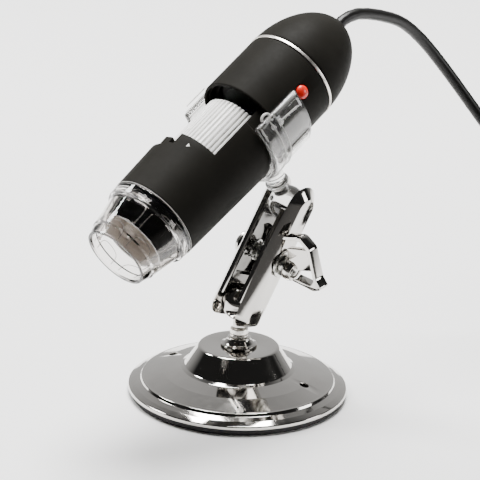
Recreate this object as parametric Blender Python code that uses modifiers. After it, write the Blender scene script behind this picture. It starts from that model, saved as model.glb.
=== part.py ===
"""Handheld digital microscope in a clear holder on a ball-jointed metal stand.

Units are metres, +Z is up. The origin is the middle of the foot pad's underside.
The microscope's nose points to -Y. Local frames are empties: one for the arm, whose Z
runs from the lower ball to the upper one and whose X is the bolt, and one for the
microscope, whose Z runs along its axis to the rear and whose Y points to the stand.
"""

import bpy
import bmesh
from math import asin, atan2, cos, pi, radians, sin, sqrt, tan
from mathutils import Matrix, Vector

# General clearances
GAP = 0.0003
OVERRUN = 0.002
MERGE = 0.000005

# Steps round a turned piece
BIG_STEPS = 32
MID_STEPS = 24
SMALL_STEPS = 12

# Base
DISC_RADIUS = 0.0354
PAD_INSET = 0.0009
PAD_RADIUS = DISC_RADIUS - PAD_INSET
PAD_HEIGHT = 0.0018
DISC_RIM_HEIGHT = 0.0012
DISC_WALL = 0.0014
STEP_INSET = 0.0043
STEP_RADIUS = DISC_RADIUS - STEP_INSET
STEP_RISE = 0.0031
STEP_BEAD = 0.0007
DOME_RISE = 0.0030
HUB_FOOT_RADIUS = 0.0176
HUB_TOP_RADIUS = 0.0128
HUB_RISE = 0.0076
HUB_FILLET = 0.0016
HUB_ROUND = 0.0009
BASE_HOLE_RADIUS = 0.0015
BASE_HOLE_PLACE_SHARE = 0.47
BASE_HOLE_RING = HUB_FOOT_RADIUS + (STEP_RADIUS - HUB_FOOT_RADIUS) * BASE_HOLE_PLACE_SHARE
BASE_HOLE_TURN = radians(16)
WEIGHT_INSET = 0.0016
WEIGHT_RADIUS = STEP_RADIUS - WEIGHT_INSET
WEIGHT_POCKET_RADIUS = 0.0062
NUT_RADIUS = 0.0048
NUT_HEIGHT = 0.0032

# Post and lower ball
COLLAR_FOOT_RADIUS = 0.0058
COLLAR_TOP_RADIUS = 0.0036
COLLAR_HEIGHT = 0.0026
POST_RADIUS = 0.0029
POST_SHOULDER_HEIGHT = 0.0223
POST_STUD_RADIUS = 0.0021
BALL_RADIUS = 0.0060
BALL_NECK_RADIUS = 0.0021
LOWER_BALL_HEIGHT = 0.0312

# Clamp arm: direction from ball to ball, and turn of the bolt round it
BALL_SPAN = 0.03487
ARM_LEAN = radians(24.85)
ARM_AZIMUTH = radians(64.9)
ARM_TWIST = radians(-58.0)
SLOT_HALF = 0.0029
RIM_THICKNESS = 0.0016
HALF_DEPTH = 0.0047
HALF_WIDTH = 0.0150
FACE_WIDTH = 0.0070
ARM_END = 0.0085
ARM_LOW_END = 0.0068
ARM_CORNER = 0.0045
FACE_CORNER = 0.0010
POCKET_DEPTH = 0.0022
POCKET_WALL = 0.0016
MOUTH_ANGLE = radians(15.0)
BOLT_RADIUS = 0.0020
BOLT_HEAD_RADIUS = 0.0038
BOLT_HEAD_HEIGHT = 0.0018
BOLT_REACH = 0.0052
SPRING_WIRE_RADIUS = 0.0004
SPRING_RADIUS = 0.0031
SPRING_CURLS = 4
SPRING_POINTS = 10
WASHER_RADIUS = 0.0046
WASHER_HEIGHT = 0.0008
HANDLE_NUT_RADIUS = 0.0037
HANDLE_NUT_HEIGHT = 0.0016
HANDLE_HUB_LENGTH = 0.0026
HANDLE_TURN = radians(30.0)
HANDLE_WIDTH = 0.0036
HANDLE_SHEET = 0.0010
HANDLE_RIB_THICKNESS = 0.0022
HANDLE_RIB_HALF = 0.0025
# Outlines from the arm's middle: reach along the bolt and height beside it.
# The strip's bends come first, then the rib's corners
HANDLE_TIP = (0.0084, 0.0108)
HANDLE_TOP = (0.0146, 0.0133)
HANDLE_SHOULDER = (0.0183, 0.0113)
HANDLE_WEB = (0.0226, 0.0022)
HANDLE_FLARE = (0.0246, 0.0003)
HANDLE_CURL = (0.0225, -0.0012)
HANDLE_END = (0.0143, -0.0018)
HANDLE_ROUND = 0.0007
RIB_HEEL = (0.0096, 0.0071)
RIB_UPPER = (0.0182, 0.0104)
RIB_LOWER = (0.0213, 0.0049)
RIB_THROAT = (0.0136, 0.0013)

# Microscope: tilt of its axis; its place follows from the upper ball and the holder
SCOPE_TILT = radians(31.19)
BODY_RADIUS = 0.0157
SHELL_WALL = 0.0014
RING_WIDTH = 0.0010
RING_PROUD = 0.00015
DOME_LENGTH = 0.0249
DOME_LENGTH_POWER_SHARE = 1.87
DOME_RADIUS_POWER_SHARE = 2.0
DOME_POINTS = 9
SLEEVE_LENGTH = 0.0229
SLEEVE_ROUND = 0.0005
BARREL_START = 0.0302
BARREL_END = 0.0664
BARREL_TAPER = 0.0012
BARREL_FRONT_RADIUS = BODY_RADIUS - BARREL_TAPER
WINDOW_FRONT = 0.0447
WINDOW_MIDDLE = radians(-107.0)
WINDOW_HALF_ANGLE = radians(65.0)
NECK_LENGTH = 0.0125
NECK_WALL = 0.0012
WHEEL_DROP = 0.0036
WHEEL_RADIUS = BODY_RADIUS - WHEEL_DROP
WHEEL_WALL = 0.0023
WHEEL_BORE = WHEEL_RADIUS - WHEEL_WALL
WHEEL_START = 0.0254
WHEEL_END = 0.0482
BEARING_COVER = 0.0013
BEARING_RADIUS = WHEEL_RADIUS - BEARING_COVER
BEARING_WIDTH = 0.0015
WHEEL_RIBS = 52
WHEEL_RIB_DEPTH = 0.0006
WHEEL_RIB_SHARE = 0.55
CAP_LENGTH = 0.0172
CAP_TAPER = 0.0042
CAP_MOUTH_RADIUS = BARREL_FRONT_RADIUS - CAP_TAPER
CAP_WALL = 0.0010
CAP_SHOULDER = 0.0035
CAP_SHOULDER_DROP = 0.0007
CAP_SPIGOT = 0.0030
CAP_LIP = 0.0007
BUTTON_RADIUS = 0.0021
BUTTON_PROUD = 0.0011
BUTTON_TRAVEL = 0.0008
BUTTON_STATION = 0.0091
BUTTON_ANGLE = radians(-18.6)
BUTTON_SKIRT = 0.0006
CABLE_RADIUS = 0.0019
GROMMET_RADIUS = 0.0032
GROMMET_LIP = 0.0006
GROMMET_LENGTH = 0.0030

# Inside of the microscope
CHASSIS_CLEARANCE = 0.0005
CHASSIS_RADIUS = BODY_RADIUS - SHELL_WALL - CHASSIS_CLEARANCE
CHASSIS_WALL = 0.0012
CHASSIS_INNER = CHASSIS_RADIUS - CHASSIS_WALL
CHASSIS_BACK = 0.0020
CHASSIS_FLOOR = 0.0014
WIRE_HOLE_RADIUS = 0.0030
BOARD_PLACE_SHARE = 0.62
BOARD_PLACE = CHASSIS_INNER * BOARD_PLACE_SHARE
BOARD_WIDTH = 2 * sqrt((CHASSIS_INNER - 2 * GAP) ** 2 - BOARD_PLACE ** 2)
BOARD_THICKNESS = 0.0012
BOARD_PLUG_SIZE = (0.0080, 0.0034, 0.0050)
SWITCH_BOARD_WIDTH_SHARE = 1.25
SWITCH_BOARD_WIDTH = CHASSIS_INNER * SWITCH_BOARD_WIDTH_SHARE
SWITCH_BOARD_LENGTH = 0.0090
SWITCH_SIDE = 0.0050
SWITCH_HEIGHT = 0.0025
SWITCH_PLUNGER_RADIUS = 0.0011
SENSOR_BOARD_INSET = 0.0033
SENSOR_BOARD_RADIUS = CHASSIS_RADIUS - SENSOR_BOARD_INSET
SENSOR_SIDE = 0.0065
SENSOR_HEIGHT = 0.0010
LENS_BARREL_RADIUS = 0.0052
LENS_BARREL_WALL = 0.0009
LENS_BACK_STATION = 0.0230
LENS_FLANGE = 0.0020
LENS_FRONT_STATION = 0.0590
LENS_THICKNESS = 0.0016
LENS_BULGE = 0.0007
REFLECTOR_INSET = 0.0034
REFLECTOR_RADIUS = BARREL_FRONT_RADIUS - REFLECTOR_INSET
REFLECTOR_THICKNESS = 0.0024
REFLECTOR_STATION = 0.0705
REFLECTOR_WEB = 0.0010
LED_COUNT = 8
LED_INSET = 0.0026
LED_RING = REFLECTOR_RADIUS - LED_INSET
LED_RADIUS = 0.0013
REFLECTOR_BORE = LED_RING - LED_RADIUS - GAP - REFLECTOR_WEB
LED_HEIGHT = 0.0024
LED_BOARD_THICKNESS = 0.0010
SCREW_RADIUS = 0.0009
SCREW_HEAD_RADIUS = 0.0016
SCREW_HEAD_HEIGHT = 0.0009
SCREW_LENGTH = 0.0040
SCREW_INSET = 0.0022
SCREW_SPREAD = SENSOR_BOARD_RADIUS - SCREW_INSET
LAMP_TUBE_WALL = 0.0010

# Clear holder
HOLDER_START = 0.0117
HOLDER_END = 0.0303
HOLDER_WALL = 0.0016
HOLDER_OPEN_MIDDLE = radians(-96.0)
HOLDER_OPEN_HALF = radians(67.0)
HOLDER_LIP_RADIUS = 0.0013
HOLDER_NECK_STATION = 0.0205
HOLDER_REACH = 0.0363
HOLDER_NECK_RADIUS = 0.0024
HOLDER_FOOT_RADIUS = 0.0060
HOLDER_FLANGE_REACH = 0.0091
HOLDER_FLANGE_RADIUS = 0.0038
HOLDER_FLANGE_LENGTH = 0.0010

# Cable, coil and plug
COIL_CENTRE = (0.0300, 0.1410)
COIL_RADIUS = 0.0220
COIL_PITCH = 0.0044
LAYER_PITCH = 0.0043
LAYER_TURNS = 4
COIL_LAST_TURN_SHARE = 0.25
LOOP_POINTS = 24
TIE_THICKNESS = 0.0008
TIE_WIDTH = 0.0030
TIE_ANGLE = radians(325)
PLUG_WIDTH = 0.0155
PLUG_HEIGHT = 0.0076
PLUG_LENGTH = 0.0230
PLUG_ROUND = 0.0012
PLUG_SHELL_WIDTH = 0.0120
PLUG_SHELL_HEIGHT = 0.0045
PLUG_SHELL_LENGTH = 0.0118
PLUG_SHELL_WALL = 0.0005
PLUG_TONGUE_SHARE = 0.35
CABLE_STEP = 0.0042
# Free stretch, from the end cap down to the surface, by hand
CABLE_ROUTE = [
    (0.0062, 0.0385, 0.1196), (0.0062, 0.0425, 0.1200), (0.0062, 0.0475, 0.1194), (0.0062, 0.0530, 0.1182),
    (0.0063, 0.0590, 0.1165), (0.0066, 0.0655, 0.1138), (0.0078, 0.0735, 0.1078), (0.0110, 0.0815, 0.0985),
    (0.0175, 0.0900, 0.0850),
    (0.0270, 0.0980, 0.0690), (0.0365, 0.1040, 0.0535), (0.0450, 0.1075, 0.0385), (0.0520, 0.1105, 0.0250),
    (0.0572, 0.1145, 0.0135), (0.0600, 0.1200, 0.0068), (0.0608, 0.1270, 0.0040),
]
# Last stretch, from the coil up onto it, to the plug
TAIL_ROUTE = [
    (0.0245, 0.1726, 0.0082), (0.0188, 0.1705, 0.0108), (0.0144, 0.1664, 0.0132), (0.0126, 0.1610, 0.0143),
    (0.0138, 0.1556, 0.0145), (0.0172, 0.1513, 0.0145),
]

part = bpy.data.collections.new("usb_digital_microscope")
cutters = bpy.data.collections.new("cutters")


def clear_scene():
    for item in list(bpy.data.objects):
        bpy.data.objects.remove(item, do_unlink=True)
    bpy.context.scene.collection.children.link(part)
    bpy.context.scene.collection.children.link(cutters)


def material(name, colour, roughness, metallic=0.0, clear=0.0):
    made = bpy.data.materials.get(name)
    if made:
        return made
    made = bpy.data.materials.new(name)
    made.use_nodes = True
    shader = made.node_tree.nodes["Principled BSDF"]
    shader.inputs["Base Color"].default_value = (*colour, 1)
    shader.inputs["Roughness"].default_value = roughness
    shader.inputs["Metallic"].default_value = metallic
    shader.inputs["Transmission Weight"].default_value = clear
    return made


def chrome():
    return material("chrome", (0.62, 0.61, 0.59), 0.12, 1.0)


def steel():
    return material("steel", (0.55, 0.54, 0.52), 0.32, 1.0)


def soft_black():
    return material("soft_black", (0.016, 0.015, 0.014), 0.55)


def clear_plastic():
    return material("clear_plastic", (0.86, 0.87, 0.88), 0.08, 0.0, 0.9)


def white_plastic():
    return material("white_plastic", (0.80, 0.79, 0.76), 0.42)


def black_rubber():
    return material("black_rubber", (0.02, 0.02, 0.02), 0.8)


def board_green():
    return material("board_green", (0.03, 0.16, 0.06), 0.5)


def place(name, data, parent, finish, matrix=None, collection=None):
    """Adds an object under a frame, with its own matrix in that frame."""
    made = bpy.data.objects.new(name, data)
    (collection or part).objects.link(made)
    made.parent = parent
    made.matrix_local = matrix or Matrix.Identity(4)
    if finish and not data.materials:
        data.materials.append(finish)
    return made


def frame(name, matrix, parent=None):
    made = bpy.data.objects.new(name, None)
    cutters.objects.link(made)
    made.empty_display_size = BALL_RADIUS
    made.parent = parent
    made.matrix_local = matrix
    return made


def hide(item):
    item.hide_render = True
    item.display_type = "WIRE"
    return item


def turned(name, profile, parent, finish, steps=MID_STEPS, matrix=None, closed=True, collection=None):
    """Turns a profile of (radius, height) points round Z."""
    data = bpy.data.meshes.new(name)
    count = len(profile)
    edges = [(i, (i + 1) % count) for i in range(count if closed else count - 1)]
    data.from_pydata([(r, 0, z) for r, z in profile], edges, [])
    made = place(name, data, parent, finish, matrix, collection)
    screw = made.modifiers.new("turn", "SCREW")
    screw.axis = "Z"
    screw.angle = 2 * pi
    screw.steps = steps
    screw.render_steps = steps
    screw.use_merge_vertices = True
    screw.merge_threshold = MERGE
    screw.use_smooth_shade = True
    return made


def bar(name, radius, low, high, parent, finish, steps=SMALL_STEPS, matrix=None, collection=None):
    """Solid round bar along Z from low to high."""
    outline = [(0, high), (radius, high), (radius, low), (0, low)]
    return turned(name, outline, parent, finish, steps, matrix, False, collection)


def tube(name, outer, inner, low, high, parent, finish, steps=MID_STEPS, matrix=None, collection=None):
    outline = [(outer, high), (outer, low), (inner, low), (inner, high)]
    return turned(name, outline, parent, finish, steps, matrix, True, collection)


def box(name, size, centre, parent, finish, matrix=None, collection=None):
    shape = bmesh.new()
    bmesh.ops.create_cube(shape, size=1.0)
    bmesh.ops.scale(shape, vec=size, verts=shape.verts)
    bmesh.ops.translate(shape, vec=centre, verts=shape.verts)
    data = bpy.data.meshes.new(name)
    shape.to_mesh(data)
    shape.free()
    return place(name, data, parent, finish, matrix, collection)


def ball(name, radius, centre, parent, finish, rings=12, matrix=None, collection=None):
    shape = bmesh.new()
    bmesh.ops.create_uvsphere(shape, u_segments=2 * rings, v_segments=rings, radius=radius)
    bmesh.ops.translate(shape, vec=centre, verts=shape.verts)
    data = bpy.data.meshes.new(name)
    shape.to_mesh(data)
    shape.free()
    return place(name, data, parent, finish, matrix, collection)


def cut(item, cutter, operation="DIFFERENCE"):
    """Boolean with another object, which becomes a hidden guide."""
    hide(cutter)
    step = item.modifiers.new(cutter.name, "BOOLEAN")
    step.object = cutter
    step.operation = operation
    step.solver = "EXACT"
    return item


def bevel(item, width, segments=2, angle=radians(40)):
    step = item.modifiers.new("edge", "BEVEL")
    step.width = width
    step.segments = segments
    step.limit_method = "ANGLE"
    step.angle_limit = angle
    step.use_clamp_overlap = True
    return item


def wire(name, points, radius, parent, finish, resolution=2, matrix=None):
    """Round wire along points, with flat closed ends."""
    data = bpy.data.curves.new(name, "CURVE")
    data.dimensions = "3D"
    data.bevel_depth = radius
    data.bevel_resolution = resolution
    data.use_fill_caps = True
    line = data.splines.new("POLY")
    line.points.add(len(points) - 1)
    for slot, point in zip(line.points, points):
        slot.co = (*point, 1)
    return place(name, data, parent, finish, matrix)


def plate(name, outline, thickness, parent, finish, matrix=None, holes=(), collection=None):
    """Flat plate in XY from an outline, centred on its thickness."""
    data = bpy.data.curves.new(name, "CURVE")
    data.dimensions = "2D"
    data.fill_mode = "BOTH"
    data.extrude = thickness / 2
    for ring in (outline, *holes):
        line = data.splines.new("POLY")
        line.points.add(len(ring) - 1)
        line.use_cyclic_u = True
        for slot, point in zip(line.points, ring):
            slot.co = (*point, 0, 1)
    return place(name, data, parent, finish, matrix, collection)


def meshed(item):
    """Turns a curve object into a welded mesh object of the same name and place."""
    bpy.context.view_layer.update()
    graph = bpy.context.evaluated_depsgraph_get()
    data = bpy.data.meshes.new_from_object(item.evaluated_get(graph))
    shape = bmesh.new()
    shape.from_mesh(data)
    bmesh.ops.remove_doubles(shape, verts=shape.verts, dist=MERGE)
    shape.to_mesh(data)
    shape.free()
    name, parent, local = item.name, item.parent, item.matrix_local.copy()
    group = item.users_collection[0]
    bpy.data.objects.remove(item, do_unlink=True)
    made = place(name, data, parent, None, local, group)
    return made


def circle(radius, count, start=0.0, centre=(0, 0)):
    steps = [start + 2 * pi * i / count for i in range(count)]
    return [(centre[0] + radius * cos(a), centre[1] + radius * sin(a)) for a in steps]


def about(angle, axis):
    return Matrix.Rotation(angle, 4, axis)


def hex_nut(name, radius, bore, low, high, parent, matrix=None):
    """Six-sided nut with a round bore along Z."""
    middle = (matrix or Matrix.Identity(4)) @ Matrix.Translation((0, 0, (low + high) / 2))
    flat = plate(name, circle(radius, 6), high - low, parent, steel(), middle, (circle(bore, SMALL_STEPS),))
    return meshed(flat)


def smooth_line(route, spacing):
    """Points about one spacing apart on a smooth curve through the route (centripetal)."""
    knots = [Vector(p) for p in route]
    knots = [2 * knots[0] - knots[1], *knots, 2 * knots[-1] - knots[-2]]
    points = []
    for p0, p1, p2, p3 in zip(knots, knots[1:], knots[2:], knots[3:]):
        count = max(1, round((p2 - p1).length / spacing))
        t1 = sqrt((p1 - p0).length)
        t2 = t1 + sqrt((p2 - p1).length)
        t3 = t2 + sqrt((p3 - p2).length)
        for step in range(count):
            t = t1 + (t2 - t1) * step / count
            a1 = p0 * ((t1 - t) / t1) + p1 * (t / t1)
            a2 = p1 * ((t2 - t) / (t2 - t1)) + p2 * ((t - t1) / (t2 - t1))
            a3 = p2 * ((t3 - t) / (t3 - t2)) + p3 * ((t - t2) / (t3 - t2))
            b1 = a1 * ((t2 - t) / t2) + a2 * (t / t2)
            b2 = a2 * ((t3 - t) / (t3 - t1)) + a3 * ((t - t1) / (t3 - t1))
            points.append(b1 * ((t2 - t) / (t2 - t1)) + b2 * ((t - t1) / (t2 - t1)))
    points.append(knots[-2])
    return points


# Base heights that several pieces share
DISC_BOTTOM = PAD_HEIGHT + GAP
STEP_HEIGHT = DISC_BOTTOM + STEP_RISE
HUB_FOOT = STEP_HEIGHT + STEP_BEAD + DOME_RISE
HUB_TOP = HUB_FOOT + HUB_RISE
HUB_SLOPE = (HUB_FOOT_RADIUS - HUB_TOP_RADIUS) / HUB_RISE
COLLAR_TOP = HUB_TOP + GAP + COLLAR_HEIGHT


def disc_outer():
    """Outer profile of the disc, from the hub's hole to the rim."""
    foot = HUB_FOOT_RADIUS
    bead = STEP_RADIUS - STEP_BEAD
    rise = DOME_RISE
    return [
        (POST_STUD_RADIUS + GAP, HUB_TOP),
        (HUB_TOP_RADIUS - HUB_ROUND, HUB_TOP),
        (HUB_TOP_RADIUS, HUB_TOP - HUB_ROUND),
        (foot - HUB_SLOPE * HUB_FILLET, HUB_FOOT + HUB_FILLET),
        (foot + HUB_FILLET / 3, HUB_FOOT + HUB_FILLET / 4),
        (foot + HUB_FILLET, HUB_FOOT - rise / 8),
        ((foot + bead) / 2, HUB_FOOT - rise * 0.42),
        (bead, STEP_HEIGHT + STEP_BEAD),
        (STEP_RADIUS, STEP_HEIGHT + STEP_BEAD * 0.6),
        (STEP_RADIUS + STEP_BEAD * 0.4, STEP_HEIGHT - STEP_BEAD * 0.5),
        ((STEP_RADIUS + DISC_RADIUS) / 2, DISC_BOTTOM + (STEP_RISE + DISC_RIM_HEIGHT) * 0.48),
        (DISC_RADIUS - DISC_RIM_HEIGHT / 4, DISC_BOTTOM + DISC_RIM_HEIGHT),
        (DISC_RADIUS, DISC_BOTTOM + DISC_RIM_HEIGHT / 2),
        (DISC_RADIUS, DISC_BOTTOM),
    ]


def disc_inner():
    """Inner profile, one wall inside the outer one, from the rim back to the hub."""
    wall = DISC_WALL
    return [
        (DISC_RADIUS - wall, DISC_BOTTOM),
        (DISC_RADIUS - wall, DISC_BOTTOM + DISC_RIM_HEIGHT / 4),
        (STEP_RADIUS - wall, STEP_HEIGHT + STEP_BEAD - wall),
        (HUB_FOOT_RADIUS - wall / 2, HUB_FOOT - wall),
        (HUB_TOP_RADIUS - wall, HUB_TOP - wall),
        (POST_STUD_RADIUS + GAP, HUB_TOP - wall),
    ]


def base_pieces():
    disc = turned("base_disc", disc_outer() + disc_inner(), None, chrome(), BIG_STEPS)
    low_top = STEP_HEIGHT + STEP_BEAD - DISC_WALL - GAP
    hub_in = HUB_FOOT_RADIUS - DISC_WALL / 2 - 2 * GAP
    weight_top = HUB_TOP - DISC_WALL - NUT_HEIGHT - 2 * GAP
    top_radius = HUB_TOP_RADIUS + HUB_SLOPE * (NUT_HEIGHT + GAP) - DISC_WALL - 2 * GAP
    outline = [
        (WEIGHT_POCKET_RADIUS, weight_top),
        (top_radius, weight_top),
        (hub_in, HUB_FOOT - DISC_WALL - GAP),
        (WEIGHT_RADIUS, low_top),
        (WEIGHT_RADIUS, DISC_BOTTOM),
        (WEIGHT_POCKET_RADIUS, DISC_BOTTOM),
    ]
    iron = material("cast_iron", (0.12, 0.12, 0.12), 0.7, 0.9)
    weight = turned("base_weight", outline, None, iron, MID_STEPS)
    pad = bar("foot_pad", PAD_RADIUS, 0, PAD_HEIGHT, None, black_rubber(), BIG_STEPS)
    for number, side in enumerate((0, pi)):
        angle = BASE_HOLE_TURN + side
        spot = Matrix.Translation((BASE_HOLE_RING * cos(angle), BASE_HOLE_RING * sin(angle), 0))
        for item in (disc, weight, pad):
            drill = bar(f"{item.name}_hole_{number}", BASE_HOLE_RADIUS, -OVERRUN, HUB_TOP, None, None,
                        SMALL_STEPS, spot, cutters)
            cut(item, drill)
    nut_top = HUB_TOP - DISC_WALL - GAP
    hex_nut("post_nut", NUT_RADIUS, POST_STUD_RADIUS + GAP, nut_top - NUT_HEIGHT, nut_top, None)
    foot = HUB_TOP + GAP
    turned("post_collar", [
        (COLLAR_TOP_RADIUS, COLLAR_TOP),
        (COLLAR_TOP_RADIUS, COLLAR_TOP - COLLAR_HEIGHT / 4),
        (COLLAR_FOOT_RADIUS * 0.8, foot + COLLAR_HEIGHT / 4),
        (COLLAR_FOOT_RADIUS, foot),
        (POST_STUD_RADIUS + GAP, foot),
        (POST_STUD_RADIUS + GAP, COLLAR_TOP),
    ], None, chrome(), MID_STEPS)


def ball_arc(radius, start, stop, count):
    """Points of a ball's profile from one polar angle to another, measured from the top."""
    angles = [start + (stop - start) * i / count for i in range(count + 1)]
    return [(radius * sin(a), radius * cos(a)) for a in angles]


def ball_post():
    neck_angle = pi - asin(BALL_NECK_RADIUS / BALL_RADIUS)
    arc = [(r, LOWER_BALL_HEIGHT + z) for r, z in ball_arc(BALL_RADIUS, 0, neck_angle, 10)]
    arc[0] = (0, arc[0][1])
    shoulder = POST_RADIUS - BALL_NECK_RADIUS
    stud_bottom = HUB_TOP - DISC_WALL - GAP - NUT_HEIGHT
    outline = arc + [
        (BALL_NECK_RADIUS, POST_SHOULDER_HEIGHT + shoulder / 2),
        (POST_RADIUS, POST_SHOULDER_HEIGHT),
        (POST_RADIUS, COLLAR_TOP + GAP),
        (POST_STUD_RADIUS, COLLAR_TOP + GAP),
        (POST_STUD_RADIUS, stud_bottom),
        (0, stud_bottom),
    ]
    turned("ball_post", outline, None, chrome(), MID_STEPS, None, False)


def arm_outline(width, low, high, corner, count=5):
    """Outline in YZ as (y, z) points: round upper end, lower end with round corners."""
    half = width / 2
    angles = [pi * i / (2 * count) for i in range(2 * count + 1)]
    points = [(half * cos(a), high - half + half * sin(a)) for a in angles]
    for middle, start in ((corner - half, pi), (half - corner, 1.5 * pi)):
        for i in range(count + 1):
            angle = start + pi * i / (2 * count)
            points.append((middle + corner * cos(angle), low + corner + corner * sin(angle)))
    return points


def half_body(name, parent):
    """One half of the arm: a rim, a chamfered side and a narrower outer face."""
    inset = (HALF_WIDTH - FACE_WIDTH) / 2
    low = -ARM_LOW_END
    high = BALL_SPAN + ARM_END
    wide = arm_outline(HALF_WIDTH, low, high, ARM_CORNER)
    narrow = arm_outline(FACE_WIDTH, low + inset / 2, high - inset, FACE_CORNER)
    shape = bmesh.new()
    rings = []
    rim = SLOT_HALF + RIM_THICKNESS
    for reach, ring in ((SLOT_HALF, wide), (rim, wide), (SLOT_HALF + HALF_DEPTH, narrow)):
        rings.append([shape.verts.new((reach, y, z)) for y, z in ring])
    for first, second in zip(rings, rings[1:]):
        for i in range(len(first)):
            j = (i + 1) % len(first)
            shape.faces.new((first[i], first[j], second[j], second[i]))
    shape.faces.new(rings[0])
    shape.faces.new(rings[-1])
    bmesh.ops.recalc_face_normals(shape, faces=shape.faces)
    data = bpy.data.meshes.new(name)
    shape.to_mesh(data)
    shape.free()
    return place(name, data, parent, chrome())


def mouth_solid(name, parent, place_z, turn):
    """The same room as a closed loft, as wide as the neck's swing."""
    start = HOLDER_NECK_RADIUS / cos(MOUTH_ANGLE) + GAP
    far = ARM_END + OVERRUN
    wide = start + far * tan(MOUTH_ANGLE)
    shape = bmesh.new()
    count = SMALL_STEPS
    rows = []
    over = MOUTH_ANGLE / 2
    for i in range(count + 1):
        angle = -over + (pi + 2 * over) * i / count
        y, z = -far * cos(angle), turn * far * sin(angle)
        rows.append([shape.verts.new((wide, y, z)), shape.verts.new((-wide, y, z))])
    inward = -turn * 2 * GAP
    hub = [shape.verts.new((start, 0, inward)), shape.verts.new((-start, 0, inward))]
    for first, second in zip(rows, rows[1:]):
        shape.faces.new((first[0], second[0], second[1], first[1]))
        shape.faces.new((hub[0], second[0], first[0]))
        shape.faces.new((hub[1], first[1], second[1]))
    shape.faces.new((hub[0], rows[0][0], rows[0][1], hub[1]))
    shape.faces.new((hub[0], hub[1], rows[-1][1], rows[-1][0]))
    bmesh.ops.recalc_face_normals(shape, faces=shape.faces)
    data = bpy.data.meshes.new(name)
    shape.to_mesh(data)
    shape.free()
    return place(name, data, parent, None, Matrix.Translation((0, 0, place_z)), cutters)


def clamp_half(name, parent):
    half = half_body(name, parent)
    for end, height in (("low", 0), ("high", BALL_SPAN)):
        spot = Matrix.Translation((0, 0, height)) @ about(MOUTH_ANGLE / 3, "X")
        cup = ball(f"{name}_cup_{end}", BALL_RADIUS + GAP, (0, 0, 0), parent, None, 10, spot, cutters)
        cut(half, cup)
        cut(half, mouth_solid(f"{name}_mouth_{end}", parent, height, -1 if end == "low" else 1))
    wide = HALF_WIDTH - 2 * POCKET_WALL
    cup_room = BALL_RADIUS + GAP + POCKET_WALL
    length = BALL_SPAN - 2 * cup_room
    pocket = box(f"{name}_pocket", (POCKET_DEPTH + OVERRUN, wide, length),
                 (SLOT_HALF + (POCKET_DEPTH - OVERRUN) / 2, 0, BALL_SPAN / 2), parent, None, None, cutters)
    cut(half, pocket)
    turn = Matrix.Translation((0, 0, BALL_SPAN / 2)) @ about(pi / 2, "Y")
    reach = SLOT_HALF + HALF_DEPTH + OVERRUN
    cut(half, bar(f"{name}_bolt_hole", BOLT_RADIUS + GAP, -reach, reach, parent, None, SMALL_STEPS, turn,
                  cutters))
    return half


def clamp_pieces(arm):
    clamp_half("clamp_half_wing", arm)
    clamp_half("clamp_half_plain", frame("plain_half_frame", about(pi, "Z"), arm))
    outer = SLOT_HALF + HALF_DEPTH
    along = Matrix.Translation((0, 0, BALL_SPAN / 2)) @ about(pi / 2, "Y")
    head = -outer - GAP
    tip = outer + WASHER_HEIGHT + HANDLE_NUT_HEIGHT + BOLT_REACH - BOLT_HEAD_HEIGHT
    turned("clamp_bolt", [
        (0, tip), (BOLT_RADIUS, tip), (BOLT_RADIUS, head), (BOLT_HEAD_RADIUS, head),
        (BOLT_HEAD_RADIUS, head - BOLT_HEAD_HEIGHT * 0.6), (BOLT_HEAD_RADIUS * 0.7, head - BOLT_HEAD_HEIGHT),
        (0, head - BOLT_HEAD_HEIGHT)], arm, steel(), SMALL_STEPS, along, False)
    washer_low = outer + GAP
    tube("wing_washer", WASHER_RADIUS, BOLT_RADIUS + GAP, washer_low, washer_low + WASHER_HEIGHT, arm,
         steel(), MID_STEPS, along)
    reach = SLOT_HALF + POCKET_DEPTH - GAP - SPRING_WIRE_RADIUS
    count = SPRING_CURLS * SPRING_POINTS
    coil = []
    for i in range(count + 1):
        angle = 2 * pi * i / SPRING_POINTS
        coil.append((SPRING_RADIUS * cos(angle), SPRING_RADIUS * sin(angle), reach * (2 * i / count - 1)))
    spring = wire("clamp_spring", coil, SPRING_WIRE_RADIUS, arm, steel(), 1, along)
    spring.data.twist_mode = "MINIMUM"


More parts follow.
